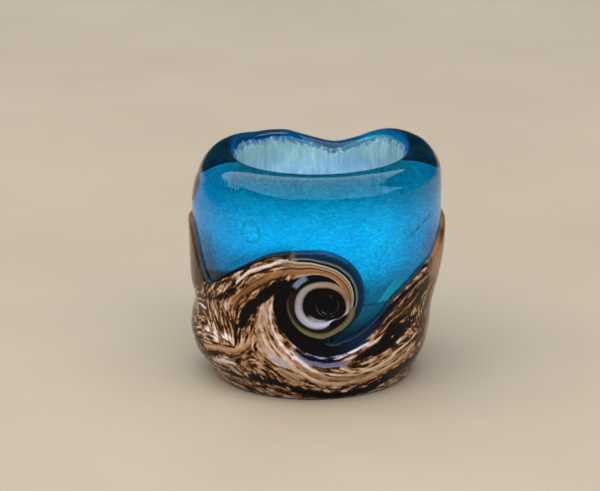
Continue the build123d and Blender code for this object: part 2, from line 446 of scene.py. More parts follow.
# How the mixed glass was drawn out: each stroke is a tone (0 black, 1 ivory), how far broken slivers
# show in it, how cool it is (1 slate or lavender), the softness of its edge and its course laid flat,
# millimetres right of the curl's centre, level, half width.
# <chart>
STROKES = [
    # tone, slivers, coolness, softness, (along, level, half width) ...
    (0.5, 1, 0, 0.182, (-8.7, 6.01, 0.379), (-6.73, 6.57, 0.455), (-5.31, 7.15, 0.379), (-4.46, 7.64, 0.227)),
    (0.46, 1, 0, 0.242, (-8.36, 4.99, 0.455), (-6.27, 5.57, 0.455), (-5, 6.03, 0.379)),
    (0.5, 1.15, 0, 0.182, (-8.44, 4.16, 0.379), (-6.6, 4.68, 0.53), (-5.29, 5, 0.303)),
    (0.3, 1, 0, 0.182, (-10.7, 3.59, 0.303), (-9.73, 2.96, 0.379), (-8.61, 2.85, 0.227)),
    (0.24, 0.7, 0, 0.091, (-9.03, 5.4, 0.061), (-7.46, 5.82, 0.114), (-6.19, 6.24, 0.121), (-5.14, 6.72, 0.106)),
    (0.46, 0.75, 0, 0.182, (-5.39, 6.02, 0.227), (-4.77, 6.63, 0.227), (-4.22, 7.05, 0.197), (-3.62, 7.47, 0.167)),
    (0.62, 1, 0.15, 0.182, (-8.2, 3.61, 0.227), (-6.95, 3.65, 0.303), (-5.62, 3.74, 0.258)),
    (0.68, 0.4, 0, 0.182, (-8.09, 2.52, 0.197), (-6.33, 2.95, 0.303), (-5.12, 3.15, 0.258), (-4.22, 3.55, 0.258), (-3.71, 4.1, 0.227)),
    (0.52, 0.9, 0, 0.182, (-6.49, 1.53, 0.121), (-5.09, 1.72, 0.258), (-3.64, 2.09, 0.303), (-2.48, 2.07, 0.258)),
    (0.5, 0.34, 0, 0.182, (-5.18, 6.15, 0.197), (-4.5, 6.77, 0.258), (-3.87, 7.39, 0.273), (-3.12, 7.98, 0.258), (-2.27, 8.43, 0.227), (-1.38, 8.72, 0.197)),
    (0.73, 0.5, 0.08, 0.121, (-2.54, 7.06, 0.061), (-2.77, 6.56, 0.167), (-3.04, 5.88, 0.333), (-3.17, 5.05, 0.455), (-2.89, 4.13, 0.606), (-2.25, 3.41, 0.606), (-1.48, 2.67, 0.53), (-0.73, 2, 0.455)),
    (0.66, 0.32, 0, 0.121, (-0.66, 2.88, 0.519), (0.31, 1.89, 0.485), (1.77, 1.5, 0.45), (3.31, 1.55, 0.381), (4.97, 1.79, 0.381), (6.51, 2.24, 0.381), (8.28, 2.79, 0.346), (9.49, 3.26, 0.26)),
    (0.22, 0.6, 0, 0.121, (4.2, 4.07, 0.173), (5.26, 4.79, 0.433), (6.38, 5.46, 0.606), (7.51, 6.19, 0.519), (8.83, 6.9, 0.225)),
    (0.26, 0.5, 0, 0.121, (8.02, 2.96, 0.26), (8.68, 3.88, 0.294), (8.95, 4.91, 0.294), (9.26, 6.03, 0.26), (9.7, 6.81, 0.173)),
    (0.02, 0.3, 0, 0.091, (-4.36, 1.44, 0.061), (-3.8, 1.46, 0.258), (-2.95, 1.37, 0.288), (-2.12, 1.23, 0.197), (-1.48, 0.95, 0.152), (-0.82, 0.7, 0.197)),
    (0.02, 0.34, 0, 0.091, (-1.35, 0.84, 0.242), (0.04, 0.56, 0.294), (1.42, 0.32, 0.277), (3.1, 0.39, 0.277), (4.5, 0.61, 0.294), (5.93, 1.05, 0.312), (7.67, 1.5, 0.329), (9.93, 1.83, 0.26), (10.26, 2.56, 0.173)),
    (0.16, 0.6, 0, 0.091, (-10.43, 3.04, 0.076), (-9.05, 2.7, 0.106), (-7.93, 2.24, 0.106), (-7.33, 1.74, 0.091), (-6.64, 1.35, 0.091), (-5.68, 1.24, 0.106), (-4.64, 1.25, 0.106), (-3.9, 1.2, 0.106)),
    (0.9, 0.15, 0.1, 0.048, (-4.97, 7.42, 0.076), (-4.18, 8.13, 0.136), (-3.67, 8.5, 0.121), (-2.96, 8.79, 0.106), (-2.21, 9.15, 0.106), (-1.65, 9.31, 0.068)),
    (0.82, 0.2, 0, 0.048, (-5.13, 6.95, 0.061), (-4.37, 7.74, 0.076), (-3.67, 8.31, 0.068), (-2.96, 8.58, 0.061), (-2.12, 8.78, 0.053), (-1.09, 8.93, 0.053)),
    (0.12, 0.2, 0, 0.036, (-5.13, 6.99, 0.045), (-4.45, 7.76, 0.061), (-3.68, 8.25, 0.053), (-2.88, 8.62, 0.045), (-2.13, 8.91, 0.053), (-1.57, 9.07, 0.045)),
    (0.1, 0.2, 0, 0.036, (-3.03, 8.41, 0.03), (-2.42, 8.6, 0.038), (-1.82, 8.75, 0.038), (-1.09, 8.77, 0.03)),
    (0.52, 0.3, 0, 0.061, (-4.89, 6.21, 0.076), (-4.4, 6.86, 0.121), (-3.7, 7.5, 0.152), (-2.89, 8.05, 0.167), (-2.11, 8.41, 0.152), (-1.24, 8.62, 0.136)),
    (0.22, 0.3, 0, 0.042, (-4.24, 6.74, 0.038), (-3.54, 7.36, 0.045), (-2.73, 7.91, 0.045), (-1.82, 8.31, 0.038)),
    (0.03, 0.2, 0, 0.061, (-5.68, 6.64, 0.061), (-5.28, 6.88, 0.121), (-4.89, 7, 0.061)),
    (0.9, 0.5, 0.4, 0.073, (-9.12, 5.03, 0.061), (-8.63, 4.99, 0.136), (-8.2, 4.94, 0.076)),
    (0.24, 0.15, 1, 0.091, (-8.16, 7.44, 0.061), (-7.28, 7.52, 0.121), (-6.42, 7.66, 0.152), (-5.77, 7.9, 0.136), (-5.26, 8.14, 0.061)),
    (0.02, 0.1, 0, 0.055, (-4.66, 4.73, 0.227), (-4.42, 5.34, 0.303), (-4.12, 5.88, 0.333), (-3.49, 6.54, 0.303), (-2.91, 7.1, 0.303), (-2.36, 7.56, 0.303), (-1.83, 7.88, 0.227)),
    (0.02, 0.1, 0, 0.048, (-5.03, 4.65, 0.152), (-5.1, 4.08, 0.076), (-5.01, 3.56, 0.045), (-5.04, 3.2, 0.015)),
    (0.3, 0.5, 0, 0.061, (-5.08, 5.69, 0.106), (-4.8, 6.23, 0.091), (-4.51, 6.61, 0.076)),
    (0.2, 0.3, 0, 0.061, (-4.2, 4.81, 0.061), (-3.81, 5.44, 0.061), (-3.48, 5.98, 0.045)),
    (0.55, 0.4, 0, 0.048, (-4.01, 3.97, 0.053), (-3.78, 4.64, 0.053), (-3.57, 5.24, 0.038), (-3.34, 6, 0.03)),
    (0.62, 0.4, 0, 0.061, (-3.33, 3.29, 0.045), (-2.8, 2.89, 0.068), (-2.27, 2.52, 0.061)),
    (0.1, 0.3, 0, 0.036, (-3.53, 4.84, 0.019), (-3.4, 4.52, 0.045), (-3.21, 4.32, 0.03), (-3.08, 4.56, 0.019)),
    (0.14, 0.3, 0, 0.036, (-2.72, 4.58, 0.011), (-2.5, 4.31, 0.034), (-2.31, 4.09, 0.015)),
    (0.36, 0.3, 0, 0.036, (-3.51, 4.92, 0.023), (-3.21, 4.48, 0.038), (-3.08, 4.58, 0.015)),
    (0.38, 0.3, 0, 0.036, (-2.75, 4.66, 0.008), (-2.5, 4.25, 0.023), (-2.21, 3.88, 0.015), (-1.97, 3.59, 0.008)),
    (0.42, 0.3, 0, 0.036, (-3.06, 4.91, 0.015), (-2.81, 4.29, 0.023), (-2.41, 3.71, 0.023), (-1.78, 3.13, 0.023)),
    (0.84, 0.25, 0.5, 0.061, (-2.8, 3.51, 0.061), (-2.49, 3.23, 0.129), (-1.94, 2.85, 0.106), (-1.34, 2.41, 0.061)),
    (0.92, 0.1, 0.2, 0.048, (-2.49, 6.83, 0.038), (-2.64, 6.1, 0.076), (-2.6, 5.29, 0.091), (-2.25, 4.43, 0.091), (-1.7, 3.76, 0.091), (-1.01, 3.09, 0.091)),
    (0.93, 0.1, 0.3, 0.048, (-1.01, 3.24, 0.087), (-0.49, 2.88, 0.104), (0.13, 2.39, 0.104), (0.95, 2.05, 0.069), (2.01, 1.86, 0.052)),
    (0.3, 0.2, 0, 0.036, (-1.02, 2.74, 0.035), (-0.32, 2.2, 0.035), (0.4, 1.78, 0.035), (1.37, 1.49, 0.035), (2.61, 1.36, 0.035)),
    (0.84, 0.15, 0, 0.048, (-0.5, 2.2, 0.069), (0.32, 1.62, 0.078), (1.6, 1.3, 0.078), (2.84, 1.3, 0.069), (4.12, 1.5, 0.078), (5.24, 1.77, 0.087), (6.51, 2.24, 0.104), (8.08, 2.75, 0.104), (8.72, 2.94, 0.069)),
    (0.28, 0.3, 0, 0.036, (0.58, 2.27, 0.035), (1.34, 1.87, 0.035), (2.75, 1.65, 0.035), (3.47, 1.74, 0.035), (4.46, 1.85, 0.035), (5.69, 2.06, 0.035), (7.07, 2.47, 0.035)),
    (0.86, 0.15, 0, 0.042, (1.97, 2.35, 0.052), (2.89, 2.04, 0.069), (3.96, 2.05, 0.069), (5.1, 2.3, 0.069), (6.04, 2.75, 0.069), (7.4, 3.13, 0.078), (8.54, 3.55, 0.061)),
    (0.2, 0.5, 0, 0.042, (2.65, 2.37, 0.069), (3.06, 2.35, 0.087), (3.48, 2.35, 0.035)),
    (0.7, 0.3, 0, 0.048, (3.35, 2.5, 0.035), (3.97, 2.66, 0.069), (4.39, 2.79, 0.043)),
    (0.02, 0.1, 0.5, 0.048, (-0.84, 3.6, 0.069), (-0.05, 3.2, 0.19), (0.74, 3.03, 0.26), (1.65, 3.11, 0.208), (2.59, 3.41, 0.173)),
    (0.56, 0.2, 1, 0.048, (-1.27, 3.85, 0.017), (-0.71, 3.29, 0.043), (-0.14, 2.93, 0.121), (0.57, 2.72, 0.147), (1.3, 2.62, 0.147), (2.04, 2.66, 0.139), (2.6, 2.82, 0.069)),
    (0.74, 0.2, 1, 0.036, (-0.49, 3.44, 0.035), (0.21, 3.26, 0.043), (0.92, 3.11, 0.043), (1.65, 3.2, 0.061), (2.3, 3.37, 0.078), (2.98, 3.63, 0.113), (3.58, 3.71, 0.104)),
    (0.94, 0.15, 0.7, 0.042, (1.01, 2.93, 0.026), (1.84, 3.09, 0.052), (2.59, 3.37, 0.078), (3.18, 3.61, 0.078), (3.68, 3.73, 0.052)),
    (0.04, 0.1, 0.6, 0.048, (2.01, 3.89, 0.121), (2.96, 4.23, 0.19), (3.73, 4.62, 0.242), (4.41, 5.11, 0.225), (5.01, 5.79, 0.173), (5.66, 6.35, 0.147), (6.61, 6.85, 0.121), (7.6, 7.18, 0.087), (8.6, 7.29, 0.052)),
    (0.34, 0.1, 1, 0.048, (3.23, 4.66, 0.043), (3.87, 5.17, 0.061), (4.41, 5.82, 0.069), (4.86, 6.39, 0.052), (5.6, 6.87, 0.035), (6.56, 7.14, 0.026)),
    (0.24, 0.1, 1, 0.048, (2.38, 4.17, 0.035), (3.15, 4.29, 0.052), (3.93, 4.73, 0.052), (4.51, 5.14, 0.043), (4.97, 5.71, 0.035)),
    (0.62, 0.7, 0, 0.042, (3.79, 3.83, 0.052), (4.63, 4.4, 0.069), (5.24, 4.89, 0.087), (6.15, 5.33, 0.087), (6.86, 5.81, 0.069), (7.58, 6.45, 0.069)),
    (0.18, 0.3, 0, 0.036, (3.99, 4.02, 0.035), (4.72, 4.53, 0.043), (5.41, 5.23, 0.043), (6.42, 5.83, 0.043), (7.39, 6.59, 0.035), (8.27, 6.98, 0.035)),
    (0.88, 0.15, 0.1, 0.042, (3.59, 3.56, 0.043), (4.21, 3.86, 0.078), (4.76, 4.1, 0.078), (5.29, 4.24, 0.043)),
    (0.02, 0.15, 0, 0.055, (2.9, 2.82, 0.052), (3.6, 3.17, 0.208), (4.36, 3.31, 0.398), (5.15, 3.7, 0.519), (6.02, 4.05, 0.485), (7.02, 4.35, 0.346), (7.75, 4.71, 0.139)),
    (0.8, 0.2, 0.2, 0.036, (3.35, 2.5, 0.026), (3.76, 2.58, 0.061), (4.17, 2.74, 0.052)),
    (0.82, 0.1, 0.1, 0.03, (6.05, 3.37, 0.133), (6.25, 3.44, 0.133)),
    (0.82, 0.1, 0.1, 0.03, (5.49, 3.83, 0.048), (5.56, 3.86, 0.048)),
    (0.82, 0.1, 0.1, 0.03, (6.83, 3.75, 0.091), (6.99, 3.8, 0.091)),
    (0.82, 0.1, 0.1, 0.03, (6.77, 4.01, 0.061), (6.88, 4.04, 0.061)),
    (0.82, 0.1, 0.1, 0.03, (7.66, 4.05, 0.067), (7.8, 4.07, 0.067)),
    (0.82, 0.1, 0.1, 0.03, (7.29, 4.39, 0.048), (7.38, 4.41, 0.048)),
    (0.82, 0.1, 0.1, 0.03, (8.25, 3.33, 0.055), (8.38, 3.34, 0.055)),
    (0.82, 0.1, 0.1, 0.03, (7.9, 4.45, 0.055), (8.02, 4.46, 0.055)),
    (0.82, 0.1, 0.1, 0.03, (6.84, 4.57, 0.036), (6.9, 4.59, 0.036)),
    (0.84, 0.1, 0.1, 0.036, (0.87, 0.82, 0.057), (1.11, 0.74, 0.095), (1.34, 0.65, 0.057)),
    (0.84, 0.1, 0.1, 0.036, (2.19, 0.62, 0.052), (2.41, 0.61, 0.087), (2.63, 0.6, 0.052)),
    (0.84, 0.1, 0.1, 0.036, (3.74, 0.69, 0.042), (3.95, 0.71, 0.069), (4.16, 0.74, 0.042)),
    (0.84, 0.1, 0.1, 0.036, (-0.57, 1.05, 0.031), (-0.45, 0.98, 0.052), (-0.34, 0.91, 0.031)),
    (0.84, 0.1, 0.1, 0.036, (4.98, 0.84, 0.036), (5.09, 0.91, 0.061), (5.19, 0.97, 0.036)),
    (0.84, 0.1, 0.1, 0.036, (6.05, 1.08, 0.042), (6.11, 1.13, 0.069), (6.17, 1.18, 0.042)),
    (0.84, 0.1, 0.1, 0.036, (5.6, 0.54, 0.026), (5.67, 0.55, 0.043), (5.73, 0.57, 0.026)),
    (0.84, 0.1, 0.1, 0.036, (7.06, 0.83, 0.026), (7.1, 0.86, 0.043), (7.15, 0.89, 0.026)),
    (0.84, 0.1, 0.1, 0.036, (6.95, 1.75, 0.042), (7.01, 1.81, 0.069), (7.09, 1.87, 0.042)),
    (0.84, 0.1, 0.1, 0.036, (7.77, 2, 0.036), (7.84, 2.06, 0.061), (7.91, 2.11, 0.036)),
    (0.8, 0.2, 0.2, 0.036, (-3.36, 1.7, 0.027), (-3.28, 1.55, 0.053), (-3.2, 1.41, 0.021)),
    (0.8, 0.2, 0.2, 0.036, (-3.75, 1.89, 0.023), (-3.69, 1.78, 0.045), (-3.64, 1.65, 0.018)),
    (0.8, 0.2, 0.2, 0.036, (-4.48, 1.63, 0.027), (-4.43, 1.49, 0.053), (-4.38, 1.34, 0.021)),
    (0.8, 0.2, 0.2, 0.036, (-4.99, 1.87, 0.03), (-4.87, 1.78, 0.061), (-4.77, 1.66, 0.024)),
    (0.8, 0.2, 0.2, 0.036, (-2.97, 1.55, 0.019), (-2.92, 1.46, 0.038), (-2.88, 1.37, 0.015)),
    (0.8, 0.2, 0.2, 0.036, (-2.16, 1.66, 0.023), (-2.07, 1.51, 0.045), (-1.98, 1.36, 0.018)),
    (0.8, 0.2, 0.2, 0.036, (-1.72, 1.01, 0.03), (-1.58, 0.89, 0.061), (-1.44, 0.78, 0.024)),
    (0.8, 0.2, 0.2, 0.036, (-2.62, 1.03, 0.019), (-2.53, 0.96, 0.038), (-2.44, 0.89, 0.015)),
    (0.03, 0.2, 0, 0.055, (-7.65, 2.37, 0.045), (-7.1, 2.39, 0.121), (-6.51, 2.56, 0.061)),
    (0.2, 0.3, 0, 0.036, (-6.51, 2.56, 0.045), (-5.94, 2.62, 0.03), (-5.34, 2.61, 0.038), (-4.65, 2.85, 0.045), (-4.21, 3.16, 0.038), (-4, 3.35, 0.023)),
    (0.84, 0.2, 0.3, 0.061, (-7.31, 1.88, 0.091), (-6.33, 2.04, 0.182), (-5.45, 2.16, 0.136), (-5.06, 2.17, 0.045)),
    (0.15, 0.4, 0, 0.036, (-7.83, 3.09, 0.03), (-6.79, 3.1, 0.03), (-5.91, 3.21, 0.038), (-5.31, 3.26, 0.045), (-5.03, 3.24, 0.038)),
    (0.05, 0.3, 0, 0.048, (-5.75, 1.46, 0.061), (-5.42, 1.3, 0.091), (-5.09, 1.15, 0.061)),
    (0.2, 0.4, 0, 0.036, (-3.95, 2.3, 0.038), (-3.41, 2.47, 0.038), (-2.76, 2.43, 0.038), (-2.15, 2.1, 0.045), (-1.73, 1.58, 0.053)),
    (0.22, 0.4, 0, 0.036, (-2.8, 2.97, 0.023), (-2.43, 2.59, 0.03), (-1.81, 2.47, 0.038), (-1.19, 2.25, 0.045), (-0.73, 2.04, 0.045)),
    (0.66, 0.3, 0, 0.061, (-1.98, 2.2, 0.106), (-1.45, 1.8, 0.197), (-0.93, 1.43, 0.197)),
    (0.4, 0.35, 0, 0.073, (9.48, 6.06, 0.303), (9.82, 4.32, 0.364), (9.3, 3.31, 0.364), (8.44, 2.66, 0.303)),
    (0.55, 0.35, 0.25, 0.036, (-7.42, 1.01, 0.048), (-5.7, 0.74, 0.061), (-3.78, 0.56, 0.067), (-2.31, 0.36, 0.067), (-0.86, 0.21, 0.067), (0.33, 0.11, 0.067), (2.03, 0.04, 0.067), (3.79, 0.08, 0.067), (5.88, 0.27, 0.067), (7.47, 0.51, 0.061), (9.74, 0.71, 0.055)),
]
GRAIN = [
    ((-7.39, 6.23), (-6.81, 7.11)),
    ((-6.38, 6.5), (-5.8, 7.36)),
    ((-5.61, 7.01), (-4.99, 7.77)),
    ((-8.2, 5.84), (-7.79, 6.44)),
    ((-5.39, 5.94), (-4.49, 6.93)),
    ((-4.84, 5.74), (-4.06, 6.85)),
    ((-9.07, 5.25), (-8.79, 4.69)),
    ((-7.33, 5.29), (-6.99, 4.5)),
    ((-6.64, 5.32), (-6.26, 4.61)),
    ((-5.96, 5.41), (-5.62, 4.52)),
    ((-8.42, 4.65), (-7.93, 4)),
    ((-9.73, 4.08), (-9.11, 3.48)),
    ((-5.31, 5.32), (-5.23, 4.61)),
    ((-7.06, 4.88), (-6.85, 4.38)),
    ((-7.82, 5.31), (-7.55, 4.74)),
    ((-8.92, 4.97), (-8.65, 4.42)),
    ((-5.8, 4.88), (-5.59, 4.29)),
    ((-7.53, 4.43), (-7.09, 3.92)),
    ((-6.5, 4.55), (-6.16, 4)),
    ((-8.38, 3.71), (-7.51, 3.38)),
    ((-6.97, 3.95), (-6.02, 3.34)),
    ((-5.74, 4.02), (-5.03, 3.4)),
    ((-9.48, 3.04), (-8.28, 2.95)),
    ((-7.83, 2.43), (-6.39, 2.56), (-5.03, 2.73), (-4.21, 3.2), (-3.54, 3.89)),
    ((-10.89, 2.23), (-7.9, 1.99), (-6.69, 1.29), (-5.28, 1), (-3.75, 0.63), (-0.86, 0.17)),
    ((-5.2, 1.96), (-4.55, 1.22)),
    ((-3.7, 2.25), (-3.03, 1.39)),
    ((-2.79, 2.21), (-1.84, 1.38)),
    ((-2.42, 1.42), (-1.34, 0.7)),
    ((-3.47, 5.5), (-3.16, 4.57)),
    ((-3.11, 6.04), (-3.09, 5.07), (-2.72, 4.15), (-2.01, 3.43)),
    ((-3.88, 3.99), (-3.53, 3.27), (-2.89, 2.71)),
    ((4.63, 4.36), (5.87, 5.4), (7.56, 6.54), (8.77, 7.11)),
    ((5.94, 3.51), (7.37, 4.25), (8.97, 5.28)),
    ((8.08, 2.75), (9.39, 3.48), (10.63, 4.76)),
    ((-1.11, 1.22), (0.04, 0.88), (1.37, 0.69), (3, 0.72), (4.31, 1.03), (5.69, 1.45), (7.32, 1.92), (9.47, 2.33)),
    ((-1.19, 0.52), (0.36, 0.24), (2, 0.18), (3.75, 0.26), (5.71, 0.49), (7.25, 0.72), (9.59, 0.87), (9.83, 1.86)),
]
# </chart>


def smooth_line(pts, per=8):
    """Catmull-Rom through open points, all columns alike."""
    p = np.asarray(pts, float)
    if len(p) == 2:
        return p
    q = np.concatenate([[2 * p[0] - p[1]], p, [2 * p[-1] - p[-2]]])
    out = []
    for i in range(1, len(q) - 2):
        p0, p1, p2, p3 = q[i - 1], q[i], q[i + 1], q[i + 2]
        for t in np.linspace(0, 1, per, endpoint=False):
            out.append(0.5 * ((2 * p1) + (p2 - p0) * t + (2 * p0 - 5 * p1 + 4 * p2 - p3) * t**2
                              + (3 * p1 - p0 - 3 * p2 + p3) * t**3))
    out.append(q[-2])
    return np.array(out)


def reach(s, z, line):
    """How far each place lies outside a stroke of varying width (negative inside)."""
    best = np.full(s.shape, 1e9)
    for p, q in zip(line[:-1], line[1:]):
        dx, dy = q[0] - p[0], q[1] - p[1]
        t = np.clip(((s - p[0]) * dx + (z - p[1]) * dy) / max(dx * dx + dy * dy, 1e-9), 0, 1)
        d = np.hypot(s - p[0] - t * dx, z - p[1] - t * dy) - (p[2] + t * (q[2] - p[2]))
        best = np.minimum(best, d)
    return best


def paint(ds, z):
    """Tone, slivers and coolness of the mixed glass about one curl."""
    tone, mott, cool = np.full_like(ds, 0.46), np.full_like(ds, 1.0), np.zeros_like(ds)
    wob = 0.035 * np.sin(5.1 * ds + 3.3 * z) + 0.03 * np.sin(9.7 * z - 4.1 * ds + 1.0)
    s0 = math.radians(CURL_AT[0]) * FLAT_R
    for to, mo, co, soft, *pts in STROKES:
        line = smooth_line([(a - s0, b, w) for a, b, w in pts])
        w = line[:, 2].max() + 0.5
        near = ((ds > line[:, 0].min() - w) & (ds < line[:, 0].max() + w)
                & (z > line[:, 1].min() - w) & (z < line[:, 1].max() + w))
        if not near.any():
            continue
        soft = max(soft, 0.03)
        m = smooth(0.5 - (reach(ds[near], z[near], line) + wob[near] * min(1, w / 0.9)) / (2 * soft))
        tone[near] += (to - tone[near]) * m
        mott[near] += (mo - mott[near]) * m
        cool[near] += (co - cool[near]) * m
    return tone, mott, cool


CELL = 0.04


def grain():
    """Streaks of the mixed glass on a flat grid, drawn out along the way it was combed."""
    turn = 2 * math.pi * FLAT_R
    ns, nz = int(turn / CELL), int(10.4 / CELL)
    gs = (np.arange(ns) + 0.5) / ns * turn - turn / 2
    gz = (np.arange(nz) + 0.5) * CELL
    s, z = np.meshgrid(gs, gz, indexing="ij")
    cx2, sx2 = np.zeros_like(s), np.zeros_like(s)
    s0 = math.radians(CURL_AT[0]) * FLAT_R
    lines = [smooth_line([(a - s0, b) for a, b in g], 3) for g in GRAIN]
    lines += [smooth_line([(a - s0, b) for a, b, w in st[4:]], 3) for st in STROKES[18:]]
    segs = np.concatenate([np.concatenate([ln[:-1], ln[1:]], 1) for ln in lines])
    mid = (segs[:, :2] + segs[:, 2:]) / 2
    ang = np.arctan2(segs[:, 3] - segs[:, 1], segs[:, 2] - segs[:, 0])
    size = np.hypot(segs[:, 3] - segs[:, 1], segs[:, 2] - segs[:, 0])
    for c in EYE_AT:
        sc = math.radians(c) * FLAT_R
        ds = (s - sc + turn / 2) % turn - turn / 2
        near = (ds > -11) & (ds < 11)
        # coarse grid is enough for the direction
        d, zz = ds[near], z[near]
        wgt_c, wgt_s = np.zeros_like(d), np.zeros_like(d)
        for (mx, mz), an, sz in zip(mid, ang, size):
            w = sz / (((d - mx)**2 + (zz - mz)**2) + 0.04)**2
            wgt_c += w * math.cos(2 * an)
            wgt_s += w * math.sin(2 * an)
        r = np.hypot(d, zz - CURL_Z)
        th = np.arctan2(zz - CURL_Z, d) + math.pi / 2 + 0.10
        w = 3000 * np.exp(-(r / 2.9)**6)
        wgt_c += w * np.cos(2 * th)
        wgt_s += w * np.sin(2 * th)
        fall = np.exp(-((d + 1.0) / 7.0)**4)
        n = np.hypot(wgt_c, wgt_s) + 1e-9
        cx2[near] += wgt_c / n * fall
        sx2[near] += wgt_s / n * fall
    an = 0.5 * np.arctan2(sx2, cx2)
    vx, vz = np.cos(an), np.sin(an)

    def white(cell):
        a, b = int(turn / cell), int(10.4 / cell) + 2
        w = rng.uniform(0, 1, (a, b))
        u, v = (s + turn / 2) / turn * a - 0.5, z / cell
        i, j = np.floor(u).astype(int), np.floor(v).astype(int)
        fu, fv = smooth(u - i), smooth(v - j)
        i0, i1, j0, j1 = i % a, (i + 1) % a, np.clip(j, 0, b - 1), np.clip(j + 1, 0, b - 1)
        return ((w[i0, j0] * (1 - fu) + w[i1, j0] * fu) * (1 - fv) + (w[i0, j1] * (1 - fu) + w[i1, j1] * fu) * fv)

    def comb(field, steps):
        total, count = field.copy(), 1
        for sign in (1, -1):
            ps, pz = s.copy(), z.copy()
            dx, dz = vx * sign, vz * sign
            for _ in range(steps):
                ps, pz = ps + dx * CELL, pz + dz * CELL
                i = ((ps + turn / 2) / turn * ns).astype(int) % ns
                j = np.clip((pz / CELL).astype(int), 0, nz - 1)
                nx, nv = vx[i, j], vz[i, j]
                flip = np.sign(nx * dx + nv * dz)
                flip[flip == 0] = 1
                dx, dz = nx * flip, nv * flip
                total += field[i, j]
                count += 1
        total /= count
        rank = np.argsort(np.argsort(total.ravel())).reshape(total.shape)
        return rank / rank.size

    short = comb(white(0.066) * 0.85 + white(0.17) * 0.20, 6)
    long_ = comb(white(0.09), 34)
    return gs, gz, short, long_


def pick(grid, s, z):
    """Bilinear sample of a grid that wraps along."""
    turn = 2 * math.pi * FLAT_R
    ns, nz = grid.shape
    u, v = (s + turn / 2) / turn * ns - 0.5, np.clip(z / CELL - 0.5, 0, nz - 1.001)
    i, j = np.floor(u).astype(int), np.floor(v).astype(int)
    fu, fv = u - i, v - j
    i0, i1 = i % ns, (i + 1) % ns
    return ((grid[i0, j] * (1 - fu) + grid[i1, j] * fu) * (1 - fv)
            + (grid[i0, j + 1] * (1 - fu) + grid[i1, j + 1] * fu) * fv)


def finish_band():
    fine, coarse = make_band()
    gs, gz, short, long_ = grain()
    turn = 2 * math.pi * FLAT_R

    def colours(s, z):
        az = np.degrees(s / FLAT_R)
        jag = 1.5 * np.sin(2.3 * z) + 1.0 * np.sin(5.1 * z + 1)
        # whose curl each place belongs to, with a soft change between them
        parts = []
        for lo, hi in ((-88, 84), (84, 152), (152, 220), (220, 272)):
            mid, half = (lo + hi) / 2, (hi - lo) / 2
            off = np.abs((az + jag - mid + 180) % 360 - 180)
            parts.append(smooth(0.5 + (half - off) / 6.0))
        total = sum(parts)
        out = [np.zeros_like(s) for _ in range(3)]
        for c, w in zip(EYE_AT, parts):
            sc = math.radians(c) * FLAT_R
            ds = (s - sc + turn / 2) % turn - turn / 2
            sel = w > 1e-4
            got = paint(ds[sel], z[sel])
            for k in range(3):
                out[k][sel] += got[k] * (w / total)[sel]
        tone, mott, cool = out
        a, b = pick(short, s, z), pick(long_, s, z)
        lean = smooth((mott - 0.35) / 0.4)
        streak = (b - 0.5) * 0.80 * (1 - lean) + (a - 0.5) * 0.86 * lean
        return tone, mott, cool, streak

    verts, attrs = [], []
    for part, (v2, tris, dist, dlow) in enumerate((fine, coarse)):
        s, z = v2[:, 0], v2[:, 1]
        a = s / FLAT_R
        r0, cx = body_r(z), body_cx(z)
        uneven = (hand_made(a, z) - 0.035) * smooth((z - 0.3) / 2.0)
        if part == 0:
            t = np.interp(z, RELIEF[:, 0], RELIEF[:, 1])
            f = np.sqrt(np.clip(1 - (1 - np.clip(dist / 0.34, 0, 1)) ** 2, 0, 1))
            g = np.sqrt(np.clip(1 - (1 - np.clip(dlow / 0.16, 0, 1)) ** 2, 0, 1))
            out = t * (0.10 + 0.90 * np.minimum(f, 0.35 + 0.65 * g))
            # each curl's eye is a shallow dimple with a low ring round it
            for c in EYE_AT:
                sc = math.radians(c) * FLAT_R
                ds = (s - sc + turn / 2) % turn - turn / 2
                r = np.hypot(ds, z - CURL_Z)
                out += -0.14 * np.exp(-(r / 0.75) ** 2) + 0.03 * np.exp(-((r - 1.5) / 0.45) ** 2)
            # pressed in a little under the broad wave
            ds = s + math.radians(90.0) * FLAT_R
            out -= 0.22 * np.exp(-(ds / 1.6) ** 2 - ((z - 4.95) / 0.60) ** 2)
        else:
            out = np.full_like(s, -0.06)
        r = r0 + out + uneven
        verts.append(np.stack([cx + r * np.sin(a), -r * np.cos(a), z], -1))
        attrs.append(colours(s, z) + (dist,))
    n = len(fine[0])
    faces = [tuple(int(x) for x in f) for f in fine[1]]
    faces += [(int(f[2]) + n, int(f[1]) + n, int(f[0]) + n) for f in coarse[1]]
    # the two skins share their outlines: join them there
    key = {(round(float(p[0]), 4), round(float(p[1]), 4)): i for i, p in enumerate(coarse[0])}
    e = np.concatenate([fine[1][:, [0, 1]], fine[1][:, [1, 2]], fine[1][:, [2, 0]]])
    uniq, index, count = np.unique(np.sort(e, axis=1), axis=0, return_index=True, return_counts=True)
    for k in index[count == 1]:
        p, q = int(e[k][0]), int(e[k][1])
        p2 = key[(round(float(fine[0][p][0]), 4), round(float(fine[0][p][1]), 4))] + n
        q2 = key[(round(float(fine[0][q][0]), 4), round(float(fine[0][q][1]), 4))] + n
        faces.append((q, p, p2, q2))
    ob = mesh_object("wave_glass", np.concatenate(verts), faces)
    for i, name in enumerate(("tone", "slivers", "cool", "streak", "edge")):
        at = ob.data.attributes.new(name, "FLOAT", "POINT")
        at.data.foreach_set("value", np.concatenate([attrs[0][i], attrs[1][i]]).astype(np.float32))
    return ob


